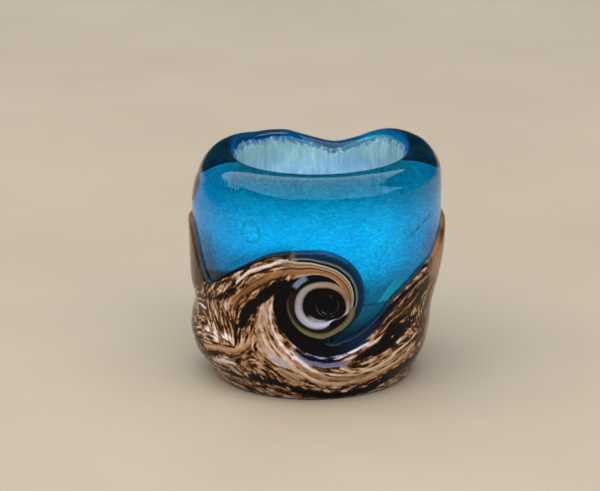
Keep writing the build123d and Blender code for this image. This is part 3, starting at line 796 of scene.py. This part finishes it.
# ---------------------------------------------------------------- node helper
class Tree:
    def __init__(self, mat):
        self.t = mat.node_tree
        self.t.nodes.clear()

    def node(self, kind, **props):
        n = self.t.nodes.new(kind)
        for k, v in props.items():
            setattr(n, k, v)
        return n

    def put(self, sock, v):
        if isinstance(v, bpy.types.NodeSocket):
            self.t.links.new(v, sock)
        elif v is not None:
            sock.default_value = v

    def math(self, op, a, b=None, c=None, clamp=False):
        n = self.node("ShaderNodeMath", operation=op, use_clamp=clamp)
        for i, v in enumerate((a, b, c)):
            if v is not None:
                self.put(n.inputs[i], v)
        return n.outputs[0]

    def add(self, a, b): return self.math("ADD", a, b)
    def sub(self, a, b): return self.math("SUBTRACT", a, b)
    def mul(self, a, b): return self.math("MULTIPLY", a, b)
    def div(self, a, b): return self.math("DIVIDE", a, b)

    def step(self, x, lo, hi, a=0.0, b=1.0):
        """Rises smoothly from a to b as x goes from lo to hi."""
        n = self.node("ShaderNodeMapRange", interpolation_type="SMOOTHSTEP")
        self.put(n.inputs[0], x)
        if not isinstance(lo, bpy.types.NodeSocket) and not isinstance(hi, bpy.types.NodeSocket) and lo > hi:
            lo, hi, a, b = hi, lo, b, a
        for i, v in zip((1, 2, 3, 4), (lo, hi, a, b)):
            self.put(n.inputs[i], v)
        return n.outputs[0]

    def ramp(self, fac, stops, mode="LINEAR"):
        n = self.node("ShaderNodeValToRGB")
        cr = n.color_ramp
        cr.interpolation = mode
        while len(cr.elements) > 1:
            cr.elements.remove(cr.elements[0])
        for i, (p, c) in enumerate(stops):
            e = cr.elements[0] if i == 0 else cr.elements.new(p)
            e.position = p
            e.color = (*c, 1.0) if len(c) == 3 else c
        self.put(n.inputs[0], fac)
        return n.outputs[0]

    def mix(self, fac, a, b, blend="MIX"):
        n = self.node("ShaderNodeMix", data_type="RGBA", blend_type=blend)
        self.put(n.inputs[0], fac)
        self.put(n.inputs[6], a if isinstance(a, bpy.types.NodeSocket) else (*a, 1.0))
        self.put(n.inputs[7], b if isinstance(b, bpy.types.NodeSocket) else (*b, 1.0))
        return n.outputs[2]

    def noise(self, vec, scale, detail=2.0, rough=0.5, dist=0.0, out=0):
        n = self.node("ShaderNodeTexNoise", noise_dimensions="3D")
        self.put(n.inputs["Vector"], vec)
        n.inputs["Scale"].default_value = scale
        n.inputs["Detail"].default_value = detail
        n.inputs["Roughness"].default_value = rough
        n.inputs["Distortion"].default_value = dist
        return n.outputs[out]

    def vec(self, x, y, z):
        n = self.node("ShaderNodeCombineXYZ")
        for i, v in enumerate((x, y, z)):
            self.put(n.inputs[i], v)
        return n.outputs[0]

    def scale(self, vec, k):
        n = self.node("ShaderNodeVectorMath", operation="MULTIPLY")
        self.put(n.inputs[0], vec)
        n.inputs[1].default_value = k
        return n.outputs[0]

    def shift(self, vec, k):
        n = self.node("ShaderNodeVectorMath", operation="ADD")
        self.put(n.inputs[0], vec)
        self.put(n.inputs[1], k)
        return n.outputs[0]

    def curve(self, x, pts, lo, hi):
        """A smooth table: x in 0..1, values between lo and hi."""
        n = self.node("ShaderNodeFloatCurve")
        c = n.mapping.curves[0]
        while len(c.points) > 2:
            c.points.remove(c.points[1])
        f = [(p, (v - lo) / (hi - lo)) for p, v in pts]
        c.points[0].location = f[0]
        c.points[1].location = f[-1]
        for p in f[1:-1]:
            c.points.new(*p)
        n.mapping.extend = "HORIZONTAL"
        n.mapping.update()
        n.inputs[0].default_value = 1.0
        self.put(n.inputs[1], x)
        return self.add(self.mul(n.outputs[0], hi - lo), lo)

    def split(self, vec):
        n = self.node("ShaderNodeSeparateXYZ")
        self.put(n.inputs[0], vec)
        return n.outputs

    def attribute(self, name):
        return self.node("ShaderNodeAttribute", attribute_name=name)

    def bump(self, height, strength, distance, normal=None):
        n = self.node("ShaderNodeBump")
        n.inputs["Strength"].default_value = strength
        n.inputs["Distance"].default_value = distance
        self.put(n.inputs["Height"], height)
        if normal is not None:
            self.put(n.inputs["Normal"], normal)
        return n.outputs[0]

    def principled(self, **kw):
        n = self.node("ShaderNodeBsdfPrincipled")
        for k, v in kw.items():
            self.put(n.inputs[k.replace("_", " ")], v)
        return n

    def output(self, surface, volume=None):
        o = self.node("ShaderNodeOutputMaterial")
        self.put(o.inputs["Surface"], surface)
        if volume is not None:
            self.put(o.inputs["Volume"], volume)


def material(name):
    m = bpy.data.materials.new(name)
    m.use_nodes = True
    return m, Tree(m)


def srgb(r, g, b):
    def f(c):
        c /= 255.0
        return c / 12.92 if c <= 0.04045 else ((c + 0.055) / 1.055) ** 2.4
    return f(r), f(g), f(b)


# ---------------------------------------------------------------- materials
def glass_material():
    m, t = material("azure_glass")
    pos = t.node("ShaderNodeNewGeometry").outputs["Position"]
    ripple = t.noise(t.scale(pos, (300, 300, 160)), 1.0, 1.0, 0.4)
    normal = t.bump(ripple, 0.10, 0.00004)
    p = t.principled(Base_Color=(1, 1, 1, 1), Roughness=0.0, IOR=1.5, Normal=normal)
    p.inputs["Transmission Weight"].default_value = 1.0
    p.inputs["Specular Tint"].default_value = (0.16, 0.37, 0.50, 1.0)
    v = t.node("ShaderNodeVolumeAbsorption")
    v.inputs["Color"].default_value = (0.0, 0.976, 0.9915, 1.0)
    v.inputs["Density"].default_value = 4000.0
    t.output(p.outputs[0], v.outputs[0])
    return m


# on the coating, seen through the glass: place round and level of one end, direction, length; and centre, radius
SCRATCH = (5.16, 9.45, 0.948, 0.317, 2.58)
MARK = (-3.93, 10.04, 0.56)


def coating_material():
    m, t = material("bead_coating")
    pos = t.node("ShaderNodeNewGeometry").outputs["Position"]
    mm = t.scale(pos, (1000, 1000, 1000))
    x, y, z = t.split(mm)
    x = t.sub(x, BORE_X)
    a = t.math("ARCTAN2", x, t.mul(y, -1.0))
    r = t.math("SQRT", t.add(t.mul(x, x), t.mul(y, y)))
    # brush strokes run up the wall inside, ridges round it outside
    outer = t.attribute("outside").outputs["Fac"]
    below = t.attribute("below").outputs["Fac"]
    upright = t.noise(t.scale(mm, (5.0, 5.0, 0.7)), 1.0, 4.0, 0.6)
    grain_ = t.noise(mm, 9.0, 3.0, 0.6)
    blotch = t.noise(mm, 0.7, 2.0, 0.5)
    tone = t.add(t.mul(upright, 0.36), t.add(t.mul(grain_, 0.24), t.mul(blotch, 0.50)))
    inner_c = t.ramp(tone, [(0.34, srgb(78, 112, 126)), (0.46, srgb(100, 134, 144)), (0.56, srgb(114, 150, 152)), (0.66, srgb(126, 162, 174)), (0.76, srgb(158, 184, 198))])
    deep_c = t.ramp(tone, [(0.34, srgb(80, 122, 150)), (0.50, srgb(104, 146, 172)), (0.62, srgb(124, 164, 188)), (0.76, srgb(166, 196, 214))])
    inner_c = t.mix(t.step(t.add(z, t.mul(t.sub(blotch, 0.5), 2.4)), 12.6, 11.2), inner_c, deep_c)
    # it thins out towards its ragged upper edge
    wear_and_glint_breaks = t.step(t.add(below, t.mul(t.sub(t.noise(mm, 5.0, 3.0, 0.7), 0.5), 1.0)), 0.40, 0.05)
    inner_c = t.mix(t.mul(wear_and_glint_breaks, 0.90), inner_c, srgb(8, 50, 86))
    # outside: what shows through the glass
    ridge = t.noise(t.scale(mm, (3.0, 3.0, 8.0)), 1.0, 3.0, 0.65, 0.6)
    sparkle = t.noise(t.scale(mm, (7.5, 7.5, 12.5)), 1.0, 3.0, 0.65, 0.4)
    tone2 = t.add(t.mul(ridge, 0.50), t.add(t.mul(sparkle, 0.45), t.mul(blotch, 0.12)))
    # painted light: the outside face is brighter lower down, darker near the top and towards its upper edge, and a
    # little darker round the sides, standing for light gathered through the glass
    level = t.mul(t.step(z, 13.0, 9.2, 0.36, 1.0), t.step(below, 0.08, 0.70, 0.05, 1.0))
    level = t.mul(level, t.step(t.math("ABSOLUTE", a), 0.55, 1.15, 1.0, 0.84))
    outer_c = t.ramp(tone2, [(0.41, (0.16, 0.40, 0.60)), (0.48, (0.23, 0.52, 0.79)), (0.54, (0.28, 0.62, 0.96)), (0.61, (0.46, 0.84, 1.0))])
    # behind the trough by the front curl little light gets in, with a sharp level edge
    trough = t.mul(t.mul(t.step(a, 0.02, 0.10), t.step(a, 0.80, 0.60)), t.step(z, 5.86, 5.80))
    deep = t.math("MAXIMUM", t.step(z, 5.8, 3.9, 0.66, 0.95), t.mul(t.step(a, 0.34, 0.14), 0.97))
    level = t.mul(level, t.sub(1.0, t.mul(trough, deep)))
    s_ = t.mul(a, 5.06)
    # painted shade on the left, below a sloping line, where little light reaches the coating
    line = t.add(7.39, t.mul(t.add(s_, 5.26), 0.273))
    painted_left_shade = t.mul(t.mul(t.step(s_, -4.4, -5.1), t.step(s_, -9.4, -8.6)), t.step(t.sub(z, line), 0.16, -0.14))
    level = t.mul(level, t.sub(1.0, t.mul(painted_left_shade, 0.90)))
    # a soft painted shadow of the band along the wave's long slope
    rise = t.add(8.47, t.mul(t.add(s_, 3.95), 0.372))
    soft = t.mul(t.mul(t.step(s_, -0.6, -2.2), t.step(s_, -6.6, -4.8)), t.step(t.sub(z, rise), 0.75, -0.15))
    level = t.mul(level, t.sub(1.0, t.mul(soft, 0.42)))
    # painted shade over the level edge by the front trough, with a darker painted line along it, and pale painted
    # highlight streaks over it
    u = t.sub(s_, t.add(3.66, t.mul(t.sub(z, 5.84), 0.887)))
    dim = t.mul(t.mul(t.step(s_, 1.2, 2.0), t.step(u, 0.75, -0.10)), t.mul(t.step(z, 8.3, 6.3), t.step(z, 5.80, 5.86)))
    level = t.mul(level, t.sub(1.0, t.mul(dim, 0.66)))
    # a darker painted shade line along the trough's level edge
    rule = t.mul(t.mul(t.step(s_, 1.0, 1.6), t.step(u, 0.60, 0.20)), t.step(t.math("ABSOLUTE", t.sub(z, 5.84)), 0.085, 0.03))
    level = t.mul(level, t.sub(1.0, t.mul(rule, 0.66)))
    comb_ = t.noise(t.vec(t.mul(u, 7.0), t.mul(z, 0.8), 0.0), 1.0, 2.0, 0.6)
    # pale painted highlight streaks, standing for a window reflected in the glass by the trough
    pale = t.mul(t.mul(t.step(t.math("ABSOLUTE", u), 0.66, 0.42), t.mul(t.step(z, 5.80, 5.96), t.step(z, 7.4, 6.5))), t.step(comb_, 0.30, 0.56, 0.35, 1.0))
    # an old scratch on the right and a faint ring on the left, both broken
    sa = t.mul(a, 5.06)
    gap_ = t.noise(mm, 4.0, 2.0)
    off = t.add(t.mul(t.sub(sa, SCRATCH[0]), SCRATCH[3]), t.mul(t.sub(z, SCRATCH[1]), -SCRATCH[2]))
    run = t.add(t.mul(t.sub(sa, SCRATCH[0]), SCRATCH[2]), t.mul(t.sub(z, SCRATCH[1]), SCRATCH[3]))
    scratch = t.mul(t.step(t.math("ABSOLUTE", t.add(off, t.mul(t.sub(gap_, 0.5), 0.40))), 0.14, 0.03), t.mul(t.step(run, -0.05, 0.1), t.step(run, SCRATCH[4], SCRATCH[4] - 0.15)))
    scratch = t.mul(scratch, t.step(gap_, 0.40, 0.50, 0.25, 1.0))
    rx, rz = t.sub(sa, MARK[0]), t.sub(z, MARK[1])
    rr = t.math("SQRT", t.add(t.mul(rx, rx), t.mul(rz, rz)))
    mark = t.mul(t.step(t.math("ABSOLUTE", t.sub(rr, MARK[2])), 0.15, 0.03), t.step(gap_, 0.34, 0.54))
    level = t.mul(level, t.sub(1.0, t.math("MAXIMUM", t.mul(scratch, 0.74), t.mul(mark, 0.34))))
    # the painted light and shade worked out above is multiplied into the outside colour here
    outer_c = t.mix(1.0, outer_c, t.vec(level, level, level), "MULTIPLY")
    milky = t.mul(trough, t.mul(t.step(z, 3.9, 5.6), 0.55))
    outer_c = t.mix(milky, outer_c, (0.26, 0.24, 0.28))
    # the pale painted highlight streaks are laid over the outside colour
    outer_c = t.mix(t.mul(pale, 0.72), outer_c, (1.0, 0.98, 0.92))
    col = t.mix(outer, inner_c, outer_c)
    h = t.mix(outer, upright, sparkle)
    normal = t.bump(h, 0.35, 0.00006)
    p = t.principled(Base_Color=col, Roughness=0.75, Normal=normal)
    p.inputs["Specular IOR Level"].default_value = 0.2
    t.output(p.outputs[0])
    return m


BLACK = (0.0012, 0.0010, 0.0012)
WARM = [(0.00, BLACK), (0.12, srgb(13, 7, 4)), (0.24, srgb(34, 18, 8)), (0.36, srgb(66, 38, 17)), (0.46, srgb(98, 62, 32)),
        (0.56, srgb(122, 83, 50)), (0.68, srgb(145, 112, 82)), (0.80, srgb(164, 140, 120)), (0.92, srgb(186, 172, 164)), (1.0, srgb(204, 198, 198))]
COOL = [(0.00, BLACK), (0.14, srgb(3, 14, 30)), (0.28, srgb(10, 40, 72)), (0.42, srgb(54, 60, 82)), (0.58, srgb(88, 92, 118)),
        (0.74, srgb(132, 132, 154)), (0.90, srgb(170, 168, 184)), (1.0, srgb(190, 188, 200))]


def band_material():
    m, t = material("mixed_glass")
    pos = t.node("ShaderNodeNewGeometry").outputs["Position"]
    mm = t.scale(pos, (1000, 1000, 1000))
    x, y, z = t.split(mm)
    az = t.math("ARCTAN2", x, t.mul(y, -1.0))
    # polar place about the nearest curl: angle clockwise from its top, radius in millimetres
    def zone(lo, hi):
        return t.mul(t.math("GREATER_THAN", az, math.radians(lo)), t.math("LESS_THAN", az, math.radians(hi)))

    front = zone(-56, 72)
    centre = 0.0
    for mask, at in ((front, EYE_AT[0]), (zone(72, 150), EYE_AT[1]), (zone(150, 181), EYE_AT[2]), (zone(-181, -144), EYE_AT[2] - 360),
                     (zone(-144, -56), EYE_AT[3] - 360)):
        centre = t.add(t.mul(mask, math.radians(at)), centre)
    ds = t.add(t.mul(t.sub(az, centre), FLAT_R), 0.09)
    dz = t.sub(z, CURL_Z + 0.02)
    r = t.math("SQRT", t.add(t.mul(ds, ds), t.mul(dz, dz)))
    wob = t.noise(mm, 1.1, 2.0, 0.5)
    r = t.add(r, t.mul(t.sub(wob, 0.5), 0.07))
    th = t.math("ARCTAN2", ds, dz)
    deg = t.mul(t.add(th, t.mul(t.math("LESS_THAN", th, 0.0), 2 * math.pi)), 180 / math.pi)
    # the same angle counted on through the top: 200 to 560
    psi = t.add(deg, t.mul(t.math("LESS_THAN", deg, 200.0), 360.0))

    def table(rows, hi, x=None, start=0.0):
        return t.curve(t.div(t.sub(x if x is not None else deg, start), 360.0), [((a - start) / 360.0, v) for a, v in rows], 0.0, hi)

    eye = table([(0, 1.05), (30, 1.12), (60, 1.24), (90, 1.38), (112, 1.48), (128, 1.40), (150, 1.18), (180, 1.12), (210, 1.19),
                 (240, 1.20), (270, 1.16), (300, 1.14), (330, 1.11), (360, 1.05)], 2.0)
    white = table([(0, 1.45), (30, 1.50), (60, 1.58), (90, 1.68), (112, 1.70), (120, 1.56), (135, 1.42), (150, 1.28), (165, 1.44), (180, 1.58),
                   (210, 1.70), (240, 1.70), (270, 1.61), (300, 1.58), (330, 1.50), (360, 1.45)], 2.0)
    gap = table([(0, 1.46), (105, 1.69), (120, 1.75), (150, 1.76), (180, 1.87), (210, 1.90), (240, 1.95), (270, 1.96), (285, 1.98), (360, 1.6)], 3.0)
    olive = table([(0, 2.0), (105, 2.31), (120, 2.36), (150, 2.31), (180, 2.25), (210, 2.20), (240, 2.14), (270, 2.08), (285, 1.99), (360, 1.6)], 3.0)
    dark = table([(0, 6.0), (112, 6.0), (118, 5.4), (125, 4.6), (130, 4.1), (140, 3.80), (150, 3.62), (165, 3.46), (180, 3.34), (210, 3.18),
                  (240, 3.02), (270, 2.92), (285, 2.84), (360, 2.8)], 7.0)
    arm_in = table([(200, 2.95), (285, 2.82), (300, 2.52), (315, 2.25), (330, 2.05), (345, 1.93), (360, 1.83), (375, 1.73), (390, 1.62),
                    (410, 1.50), (430, 1.50), (475, 1.50), (560, 1.5)], 3.5, psi, 200)
    arm_out = table([(200, 5.6), (290, 5.6), (303, 4.5), (313, 4.0), (322, 3.5), (330, 3.05), (345, 2.72), (360, 2.46), (390, 2.20), (420, 2.0),
                     (450, 1.86), (470, 1.78), (480, 1.76), (560, 1.7)], 7.0, psi, 200)

    def inside(edge, w=0.026):
        """1 inside the radius, 0 outside."""
        return t.step(t.sub(edge, r), -w, w)

    def between(x, a, b, w):
        return t.mul(t.step(x, a - w, a + w), t.step(x, b + w, b - w))

    # ---- the mixed glass itself
    tone = t.attribute("tone").outputs["Fac"]
    cool = t.attribute("cool").outputs["Fac"]
    slivers = t.attribute("slivers").outputs["Fac"]
    streak = t.attribute("streak").outputs["Fac"]
    tone = t.add(tone, t.mul(streak, slivers))
    col = t.mix(cool, t.ramp(tone, WARM), t.ramp(tone, COOL))

    # ---- round the tan arm: a black line, a grey-green line, then dark clear glass
    out = t.add(t.sub(r, arm_out), t.mul(t.sub(wob, 0.5), 0.05))
    lining_c = t.ramp(t.div(out, 0.9), [(0.0, BLACK), (0.13, BLACK), (0.17, srgb(44, 54, 54)), (0.23, srgb(86, 96, 96)), (0.30, srgb(40, 56, 66)),
                                       (0.36, srgb(6, 24, 38)), (0.50, srgb(2, 24, 42)), (0.72, srgb(0, 36, 62)), (1.0, srgb(0, 62, 98))])
    m_out = t.mul(t.sub(1.0, inside(arm_out)), t.mul(between(psi, 328, 484, 7), t.step(out, 1.5, 1.2)))
    lining_c = t.mix(front, t.mix(0.86, lining_c, srgb(74, 58, 40)), lining_c)
    col = t.mix(m_out, col, lining_c)
    # ---- tan arm
    ti = t.div(t.sub(r, arm_in), t.math("MAXIMUM", t.sub(arm_out, arm_in), 0.05))
    hair = t.noise(t.vec(t.mul(ti, 5.0), t.mul(psi, 0.012), 0.0), 1.0, 3.0, 0.6)
    ti = t.add(ti, t.mul(t.sub(hair, 0.5), 0.20))
    tan_c = t.ramp(ti, [(0.0, srgb(60, 38, 22)), (0.06, srgb(142, 120, 104)), (0.14, srgb(124, 84, 50)), (0.30, srgb(112, 70, 34)), (0.42, srgb(128, 90, 56)),
                        (0.48, srgb(58, 32, 14)), (0.53, srgb(34, 18, 8)), (0.58, srgb(108, 78, 52)), (0.70, srgb(134, 106, 80)), (0.80, srgb(88, 72, 54)), (0.88, srgb(122, 102, 82)), (0.95, srgb(154, 138, 124))])
    m_arm = t.mul(t.mul(inside(arm_out), t.sub(1.0, inside(arm_in))), between(psi, 318, 474, 10))
    col = t.mix(m_arm, col, tan_c)
    # ---- black gap inside the arm
    m_gap = t.mul(inside(arm_in), between(psi, 282, 480, 3))
    # a painted window reflection: a grey glint on the black gap
    painted_glint = t.mul(between(deg, 304, 331, 4), t.mul(t.step(r, 1.72, 1.80), t.step(r, 2.14, 2.04)))
    col = t.mix(m_gap, col, BLACK)
    col = t.mix(t.mul(painted_glint, 0.85), col, srgb(92, 104, 122))
    # ---- dark arm under the curl, navy where it nears the clear glass
    m_dark = t.mul(inside(dark, 0.03), between(deg, 112, 286, 2))
    near = t.step(r, 4.3, 3.6)
    navy = t.mul(t.step(deg, 170, 130), t.step(r, 2.35, 2.9))
    dark_c = t.mix(navy, BLACK, srgb(3, 22, 44))
    col = t.mix(t.mul(m_dark, near), col, dark_c)
    # ---- olive band
    m_olive = t.mul(inside(olive), between(deg, 100, 284, 5))
    oi = t.div(t.sub(r, gap), 0.45)
    olive_c = t.ramp(t.add(oi, t.mul(t.sub(hair, 0.5), 0.3)), [(0.0, srgb(44, 36, 20)), (0.25, srgb(82, 74, 46)), (0.6, srgb(94, 88, 62)), (0.85, srgb(58, 62, 48)), (1.0, srgb(14, 24, 26))])
    olive_c = t.mix(t.step(deg, 200, 290), olive_c, srgb(48, 38, 20))
    col = t.mix(m_olive, col, olive_c)
    # ---- dark brown line round the ring
    m_brown = t.mul(inside(gap), between(deg, 112, 292, 3))
    col = t.mix(m_brown, col, t.mix(t.step(deg, 150, 175), BLACK, srgb(24, 13, 8)))
    # ---- the pale ring
    ri = t.div(t.sub(r, eye), t.math("MAXIMUM", t.sub(white, eye), 0.05))
    ring_c = t.ramp(t.div(deg, 360.0), [(0.0, srgb(136, 118, 110)), (0.10, srgb(140, 112, 92)), (0.22, srgb(116, 86, 64)), (0.30, srgb(146, 136, 134)), (0.42, srgb(168, 166, 182)), (0.58, srgb(164, 160, 176)),
                                        (0.72, srgb(140, 132, 138)), (0.88, srgb(136, 122, 116)), (1.0, srgb(136, 118, 110))])
    shade = t.step(t.math("ABSOLUTE", t.sub(t.add(ri, t.mul(t.sub(hair, 0.5), 0.4)), 0.5)), 0.5, 0.15, 0.46, 0.86)
    ring_c = t.mix(1.0, ring_c, t.vec(shade, shade, shade), "MULTIPLY")
    m_ring = t.mul(inside(white), t.sub(1.0, t.mul(0.8, between(deg, 121, 146, 9))))
    col = t.mix(m_ring, col, ring_c)
    # ---- the eye
    col = t.mix(inside(eye, 0.03), col, BLACK)
    # painted reflections of overhead light in the eye's dimple: two arcs and a tick, broken up by noise
    ex, ez = t.sub(ds, 0.40), t.add(dz, 0.10)
    re = t.math("SQRT", t.add(t.mul(ex, ex), t.mul(ez, ez)))
    wear_and_glint_breaks = t.step(t.noise(mm, 3.4, 2.0), 0.42, 0.56, 0.15, 1.0)
    arc = t.mul(t.step(t.math("ABSOLUTE", t.sub(re, 0.56)), 0.030, 0.008), t.step(t.sub(ez, t.mul(ex, 0.8)), 0.10, -0.20))
    arc2 = t.mul(t.step(t.math("ABSOLUTE", t.sub(re, 0.74)), 0.026, 0.008), t.step(t.add(ez, t.mul(ex, 0.5)), -0.30, -0.55))
    tick = t.mul(t.step(t.math("ABSOLUTE", t.sub(t.sub(ds, 0.62), t.mul(dz, -0.22))), 0.032, 0.010), between(dz, 0.22, 0.55, 0.10))
    eye_glints = t.math("MAXIMUM", t.mul(arc, 0.40), t.math("MAXIMUM", t.mul(arc2, 0.26), t.mul(tick, 0.40)))
    col = t.mix(t.mul(eye_glints, wear_and_glint_breaks), col, srgb(122, 126, 120))
    shoal = t.mul(t.mul(t.step(r, 0.96, 1.06), inside(eye, 0.03)), between(deg, 172, 222, 12))
    col = t.mix(t.mul(shoal, 0.55), col, srgb(150, 142, 150))

    # ---- the smooth flank of the broad wave, drawn down its side
    flank_az = t.mul(az, 180 / math.pi)
    flank = t.mul(t.step(flank_az, -97, -90), t.step(flank_az, -55.5, -56.5))
    flank = t.mul(flank, t.step(t.sub(z, t.add(6.90, t.mul(t.add(flank_az, 57.0), 0.064))), -0.05, 0.07))
    thread = t.noise(t.vec(t.mul(flank_az, 0.42), t.mul(z, 0.30), 0.0), 1.0, 3.0, 0.6)
    flank_c = t.ramp(t.div(t.add(t.add(flank_az, 92.0), t.mul(t.sub(thread, 0.5), 9.0)), 36.0),
                     [(0.0, srgb(112, 74, 38)), (0.28, srgb(122, 80, 42)), (0.46, srgb(78, 52, 30)), (0.66, srgb(60, 42, 26)), (0.80, srgb(84, 66, 48)), (0.94, srgb(22, 28, 32))])
    flank_c = t.mix(t.step(z, 9.0, 6.4, 0.0, 0.85), flank_c, srgb(44, 26, 8))
    col = t.mix(flank, col, flank_c)
    # and the right end of the front wave, where its streaks run straight up
    right = t.mul(t.mul(t.step(flank_az, 60, 68), t.step(flank_az, 99, 91)), t.step(t.add(z, t.mul(t.sub(wob, 0.5), 1.2)), 6.0, 7.2))
    thread = t.noise(t.vec(t.mul(flank_az, 0.34), t.mul(z, 0.22), 0.0), 1.0, 3.0, 0.6)
    right_c = t.ramp(t.div(t.add(t.sub(flank_az, 60.0), t.mul(t.sub(thread, 0.5), 12.0)), 40.0),
                     [(0.0, srgb(112, 98, 92)), (0.16, srgb(132, 106, 84)), (0.30, srgb(146, 110, 76)), (0.42, srgb(84, 56, 34)), (0.50, srgb(62, 40, 24)), (0.60, srgb(130, 92, 56)), (0.85, srgb(118, 82, 48))])
    col = t.mix(t.mul(right, 0.9), col, right_c)
    col = t.mix(t.mul(t.step(flank_az, 48, 78), t.step(flank_az, 104, 96)), col, t.mix(1.0, col, (0.92, 0.68, 0.42), "MULTIPLY"))

    # ---- dark line along the whole upper edge
    edge = t.attribute("edge").outputs["Fac"]
    thick = t.mul(t.step(az, -1.10, -0.80), t.step(az, -0.05, -0.25))
    line_w = t.add(t.add(0.03, t.mul(thick, 0.07)), t.mul(t.noise(mm, 1.3, 2.0), 0.26))
    on_edge = t.step(t.sub(line_w, edge), -0.04, 0.04)
    on_edge = t.mul(on_edge, t.mul(t.sub(1.0, t.step(m_out, 0.6, 1.0)), t.step(t.math("ABSOLUTE", az), 1.25, 0.95, 0.35, 1.0)))
    col = t.mix(on_edge, col, t.mix(t.step(edge, 0.02, 0.12), srgb(4, 26, 44), BLACK))

    # ---- relief of the streaks, gloss
    normal = t.bump(t.mul(streak, slivers), 0.25, 0.00008)
    p = t.principled(Base_Color=col, Roughness=0.06, Normal=normal)
    p.inputs["IOR"].default_value = 1.5
    p.inputs["Specular IOR Level"].default_value = 0.08
    t.output(p.outputs[0])
    return m


# ---------------------------------------------------------------- build
body = make_body()
body.data.materials.append(glass_material())
lining = make_lining()
lining.data.materials.append(coating_material())
band = finish_band()
band.data.materials.append(band_material())

for piece, node, slot in ((body, "glass_body", "blue_glass"), (lining, "bore_lining", "bead_coating"), (band, "wave_band", "mixed_glass")):
    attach(piece, "root")
    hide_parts(node)

# ---------------------------------------------------------------- floor
bpy.ops.mesh.primitive_plane_add(size=4.0, location=(0, 0, 0))
floor = bpy.context.object
floor.name = "floor"
fm, ft = material("pale_floor")
fpos = ft.node("ShaderNodeNewGeometry").outputs["Position"]
fn = ft.noise(ft.scale(fpos, (60, 60, 60)), 1.0, 4.0, 0.6)
fcol = ft.ramp(fn, [(0.3, (0.222, 0.172, 0.122)), (0.7, (0.244, 0.192, 0.138))])
fp = ft.principled(Base_Color=fcol, Roughness=0.55)
ft.output(fp.outputs[0])
floor.data.materials.append(fm)


# ---------------------------------------------------------------- light
def area(name, loc, target, size, size_y, power, color=(1, 1, 1)):
    li = bpy.data.lights.new(name, "AREA")
    li.shape = "RECTANGLE"
    li.size, li.size_y = size, size_y
    li.energy = power
    li.color = color
    ob = bpy.data.objects.new(name, li)
    bpy.context.scene.collection.objects.link(ob)
    ob.location = loc
    ob.rotation_mode = "QUATERNION"
    ob.rotation_quaternion = (Vector(target) - Vector(loc)).to_track_quat("-Z", "Y")
    return ob


# radiance of an area light is power / (pi * area)
def power_for(radiance, w, h):
    return radiance * math.pi * w * h


CARD = 4.9
DAY = (0.95, 0.98, 1.0)


def card(name, x0, x1, y0, y1, share=1.0, z=0.45):
    mid = ((x0 + x1) / 2, (y0 + y1) / 2)
    return area(name, (*mid, z), (*mid, 0.0), x1 - x0, y1 - y0, power_for(CARD * share, x1 - x0, y1 - y0), DAY)


card("front_card", -0.70, 1.15, -0.98, -0.12)
card("middle_card", -0.66, 0.30, -0.12, 0.10, 0.85)
card("back_card", -0.74, 0.26, 0.10, 0.46, 0.62)
card("side_card", -1.20, -0.70, -0.02, 0.26, 0.55)

world = bpy.data.worlds.new("studio")
world.use_nodes = True
wt = Tree(world)
way = wt.node("ShaderNodeTexCoord").outputs["Generated"]
wx, wy, wz = wt.split(way)
# the room is brighter low down in front, and a dim blue high up and behind
low = wt.mul(wt.step(wz, 0.42, 0.0), wt.step(wy, 0.35, -0.3))
glow = wt.mix(low, (0.020, 0.105, 0.175), (0.44, 0.47, 0.50))
bg = wt.node("ShaderNodeBackground")
wt.put(bg.inputs["Color"], glow)
wo = wt.node("ShaderNodeOutputWorld")
wt.put(wo.inputs["Surface"], bg.outputs[0])
bpy.context.scene.world = world

# ---------------------------------------------------------------- camera
W, H, F = 600.0, 491.0, 3280.0
DIST, ELEV = 200.0, math.radians(18.0)
TARGET, PX, PY = np.array([0.29, 0.0, 6.56]), 321.45, 264.86
back = np.array([0, -math.cos(ELEV), math.sin(ELEV)])
right = np.array([1.0, 0, 0])
up = np.array([0, math.sin(ELEV), math.cos(ELEV)])
fwd = -back
yaw = math.atan2((PX - W / 2) / F, 1.0)
pitch = math.atan2(-(PY - H / 2) / F, 1.0)
f2 = fwd * math.cos(yaw) - right * math.sin(yaw)
r2 = right * math.cos(yaw) + fwd * math.sin(yaw)
f3 = f2 * math.cos(pitch) - up * math.sin(pitch)
u3 = up * math.cos(pitch) + f2 * math.sin(pitch)
place = (TARGET + back * DIST) * MM
cam_data = bpy.data.cameras.new("camera")
cam_data.sensor_fit = "HORIZONTAL"
cam_data.sensor_width = 36.0
cam_data.lens = F * 36.0 / W
cam_data.clip_start, cam_data.clip_end = 0.005, 20.0
cam = bpy.data.objects.new("camera", cam_data)
cam.matrix_world = Matrix((
    (r2[0], u3[0], -f3[0], place[0]),
    (r2[1], u3[1], -f3[1], place[1]),
    (r2[2], u3[2], -f3[2], place[2]),
    (0, 0, 0, 1)))
bpy.context.scene.collection.objects.link(cam)
bpy.context.scene.camera = cam

sc = bpy.context.scene
sc.view_settings.view_transform = "Standard"
sc.view_settings.look = "None"
sc.view_settings.exposure = 0.0
sc.cycles.max_bounces = 24
sc.cycles.transmission_bounces = 16
sc.cycles.diffuse_bounces = 5
sc.cycles.glossy_bounces = 8
sc.cycles.caustics_refractive = True
sc.cycles.caustics_reflective = True
sc.cycles.blur_glossy = 0.3
sc.cycles.sample_clamp_indirect = 8.0
sc.cycles.use_denoising = True

bpy.context.view_layer.update()
print("TRIANGLES", {o.name: sum(len(p.vertices) - 2 for p in o.data.polygons) for o in (body, lining, band)})
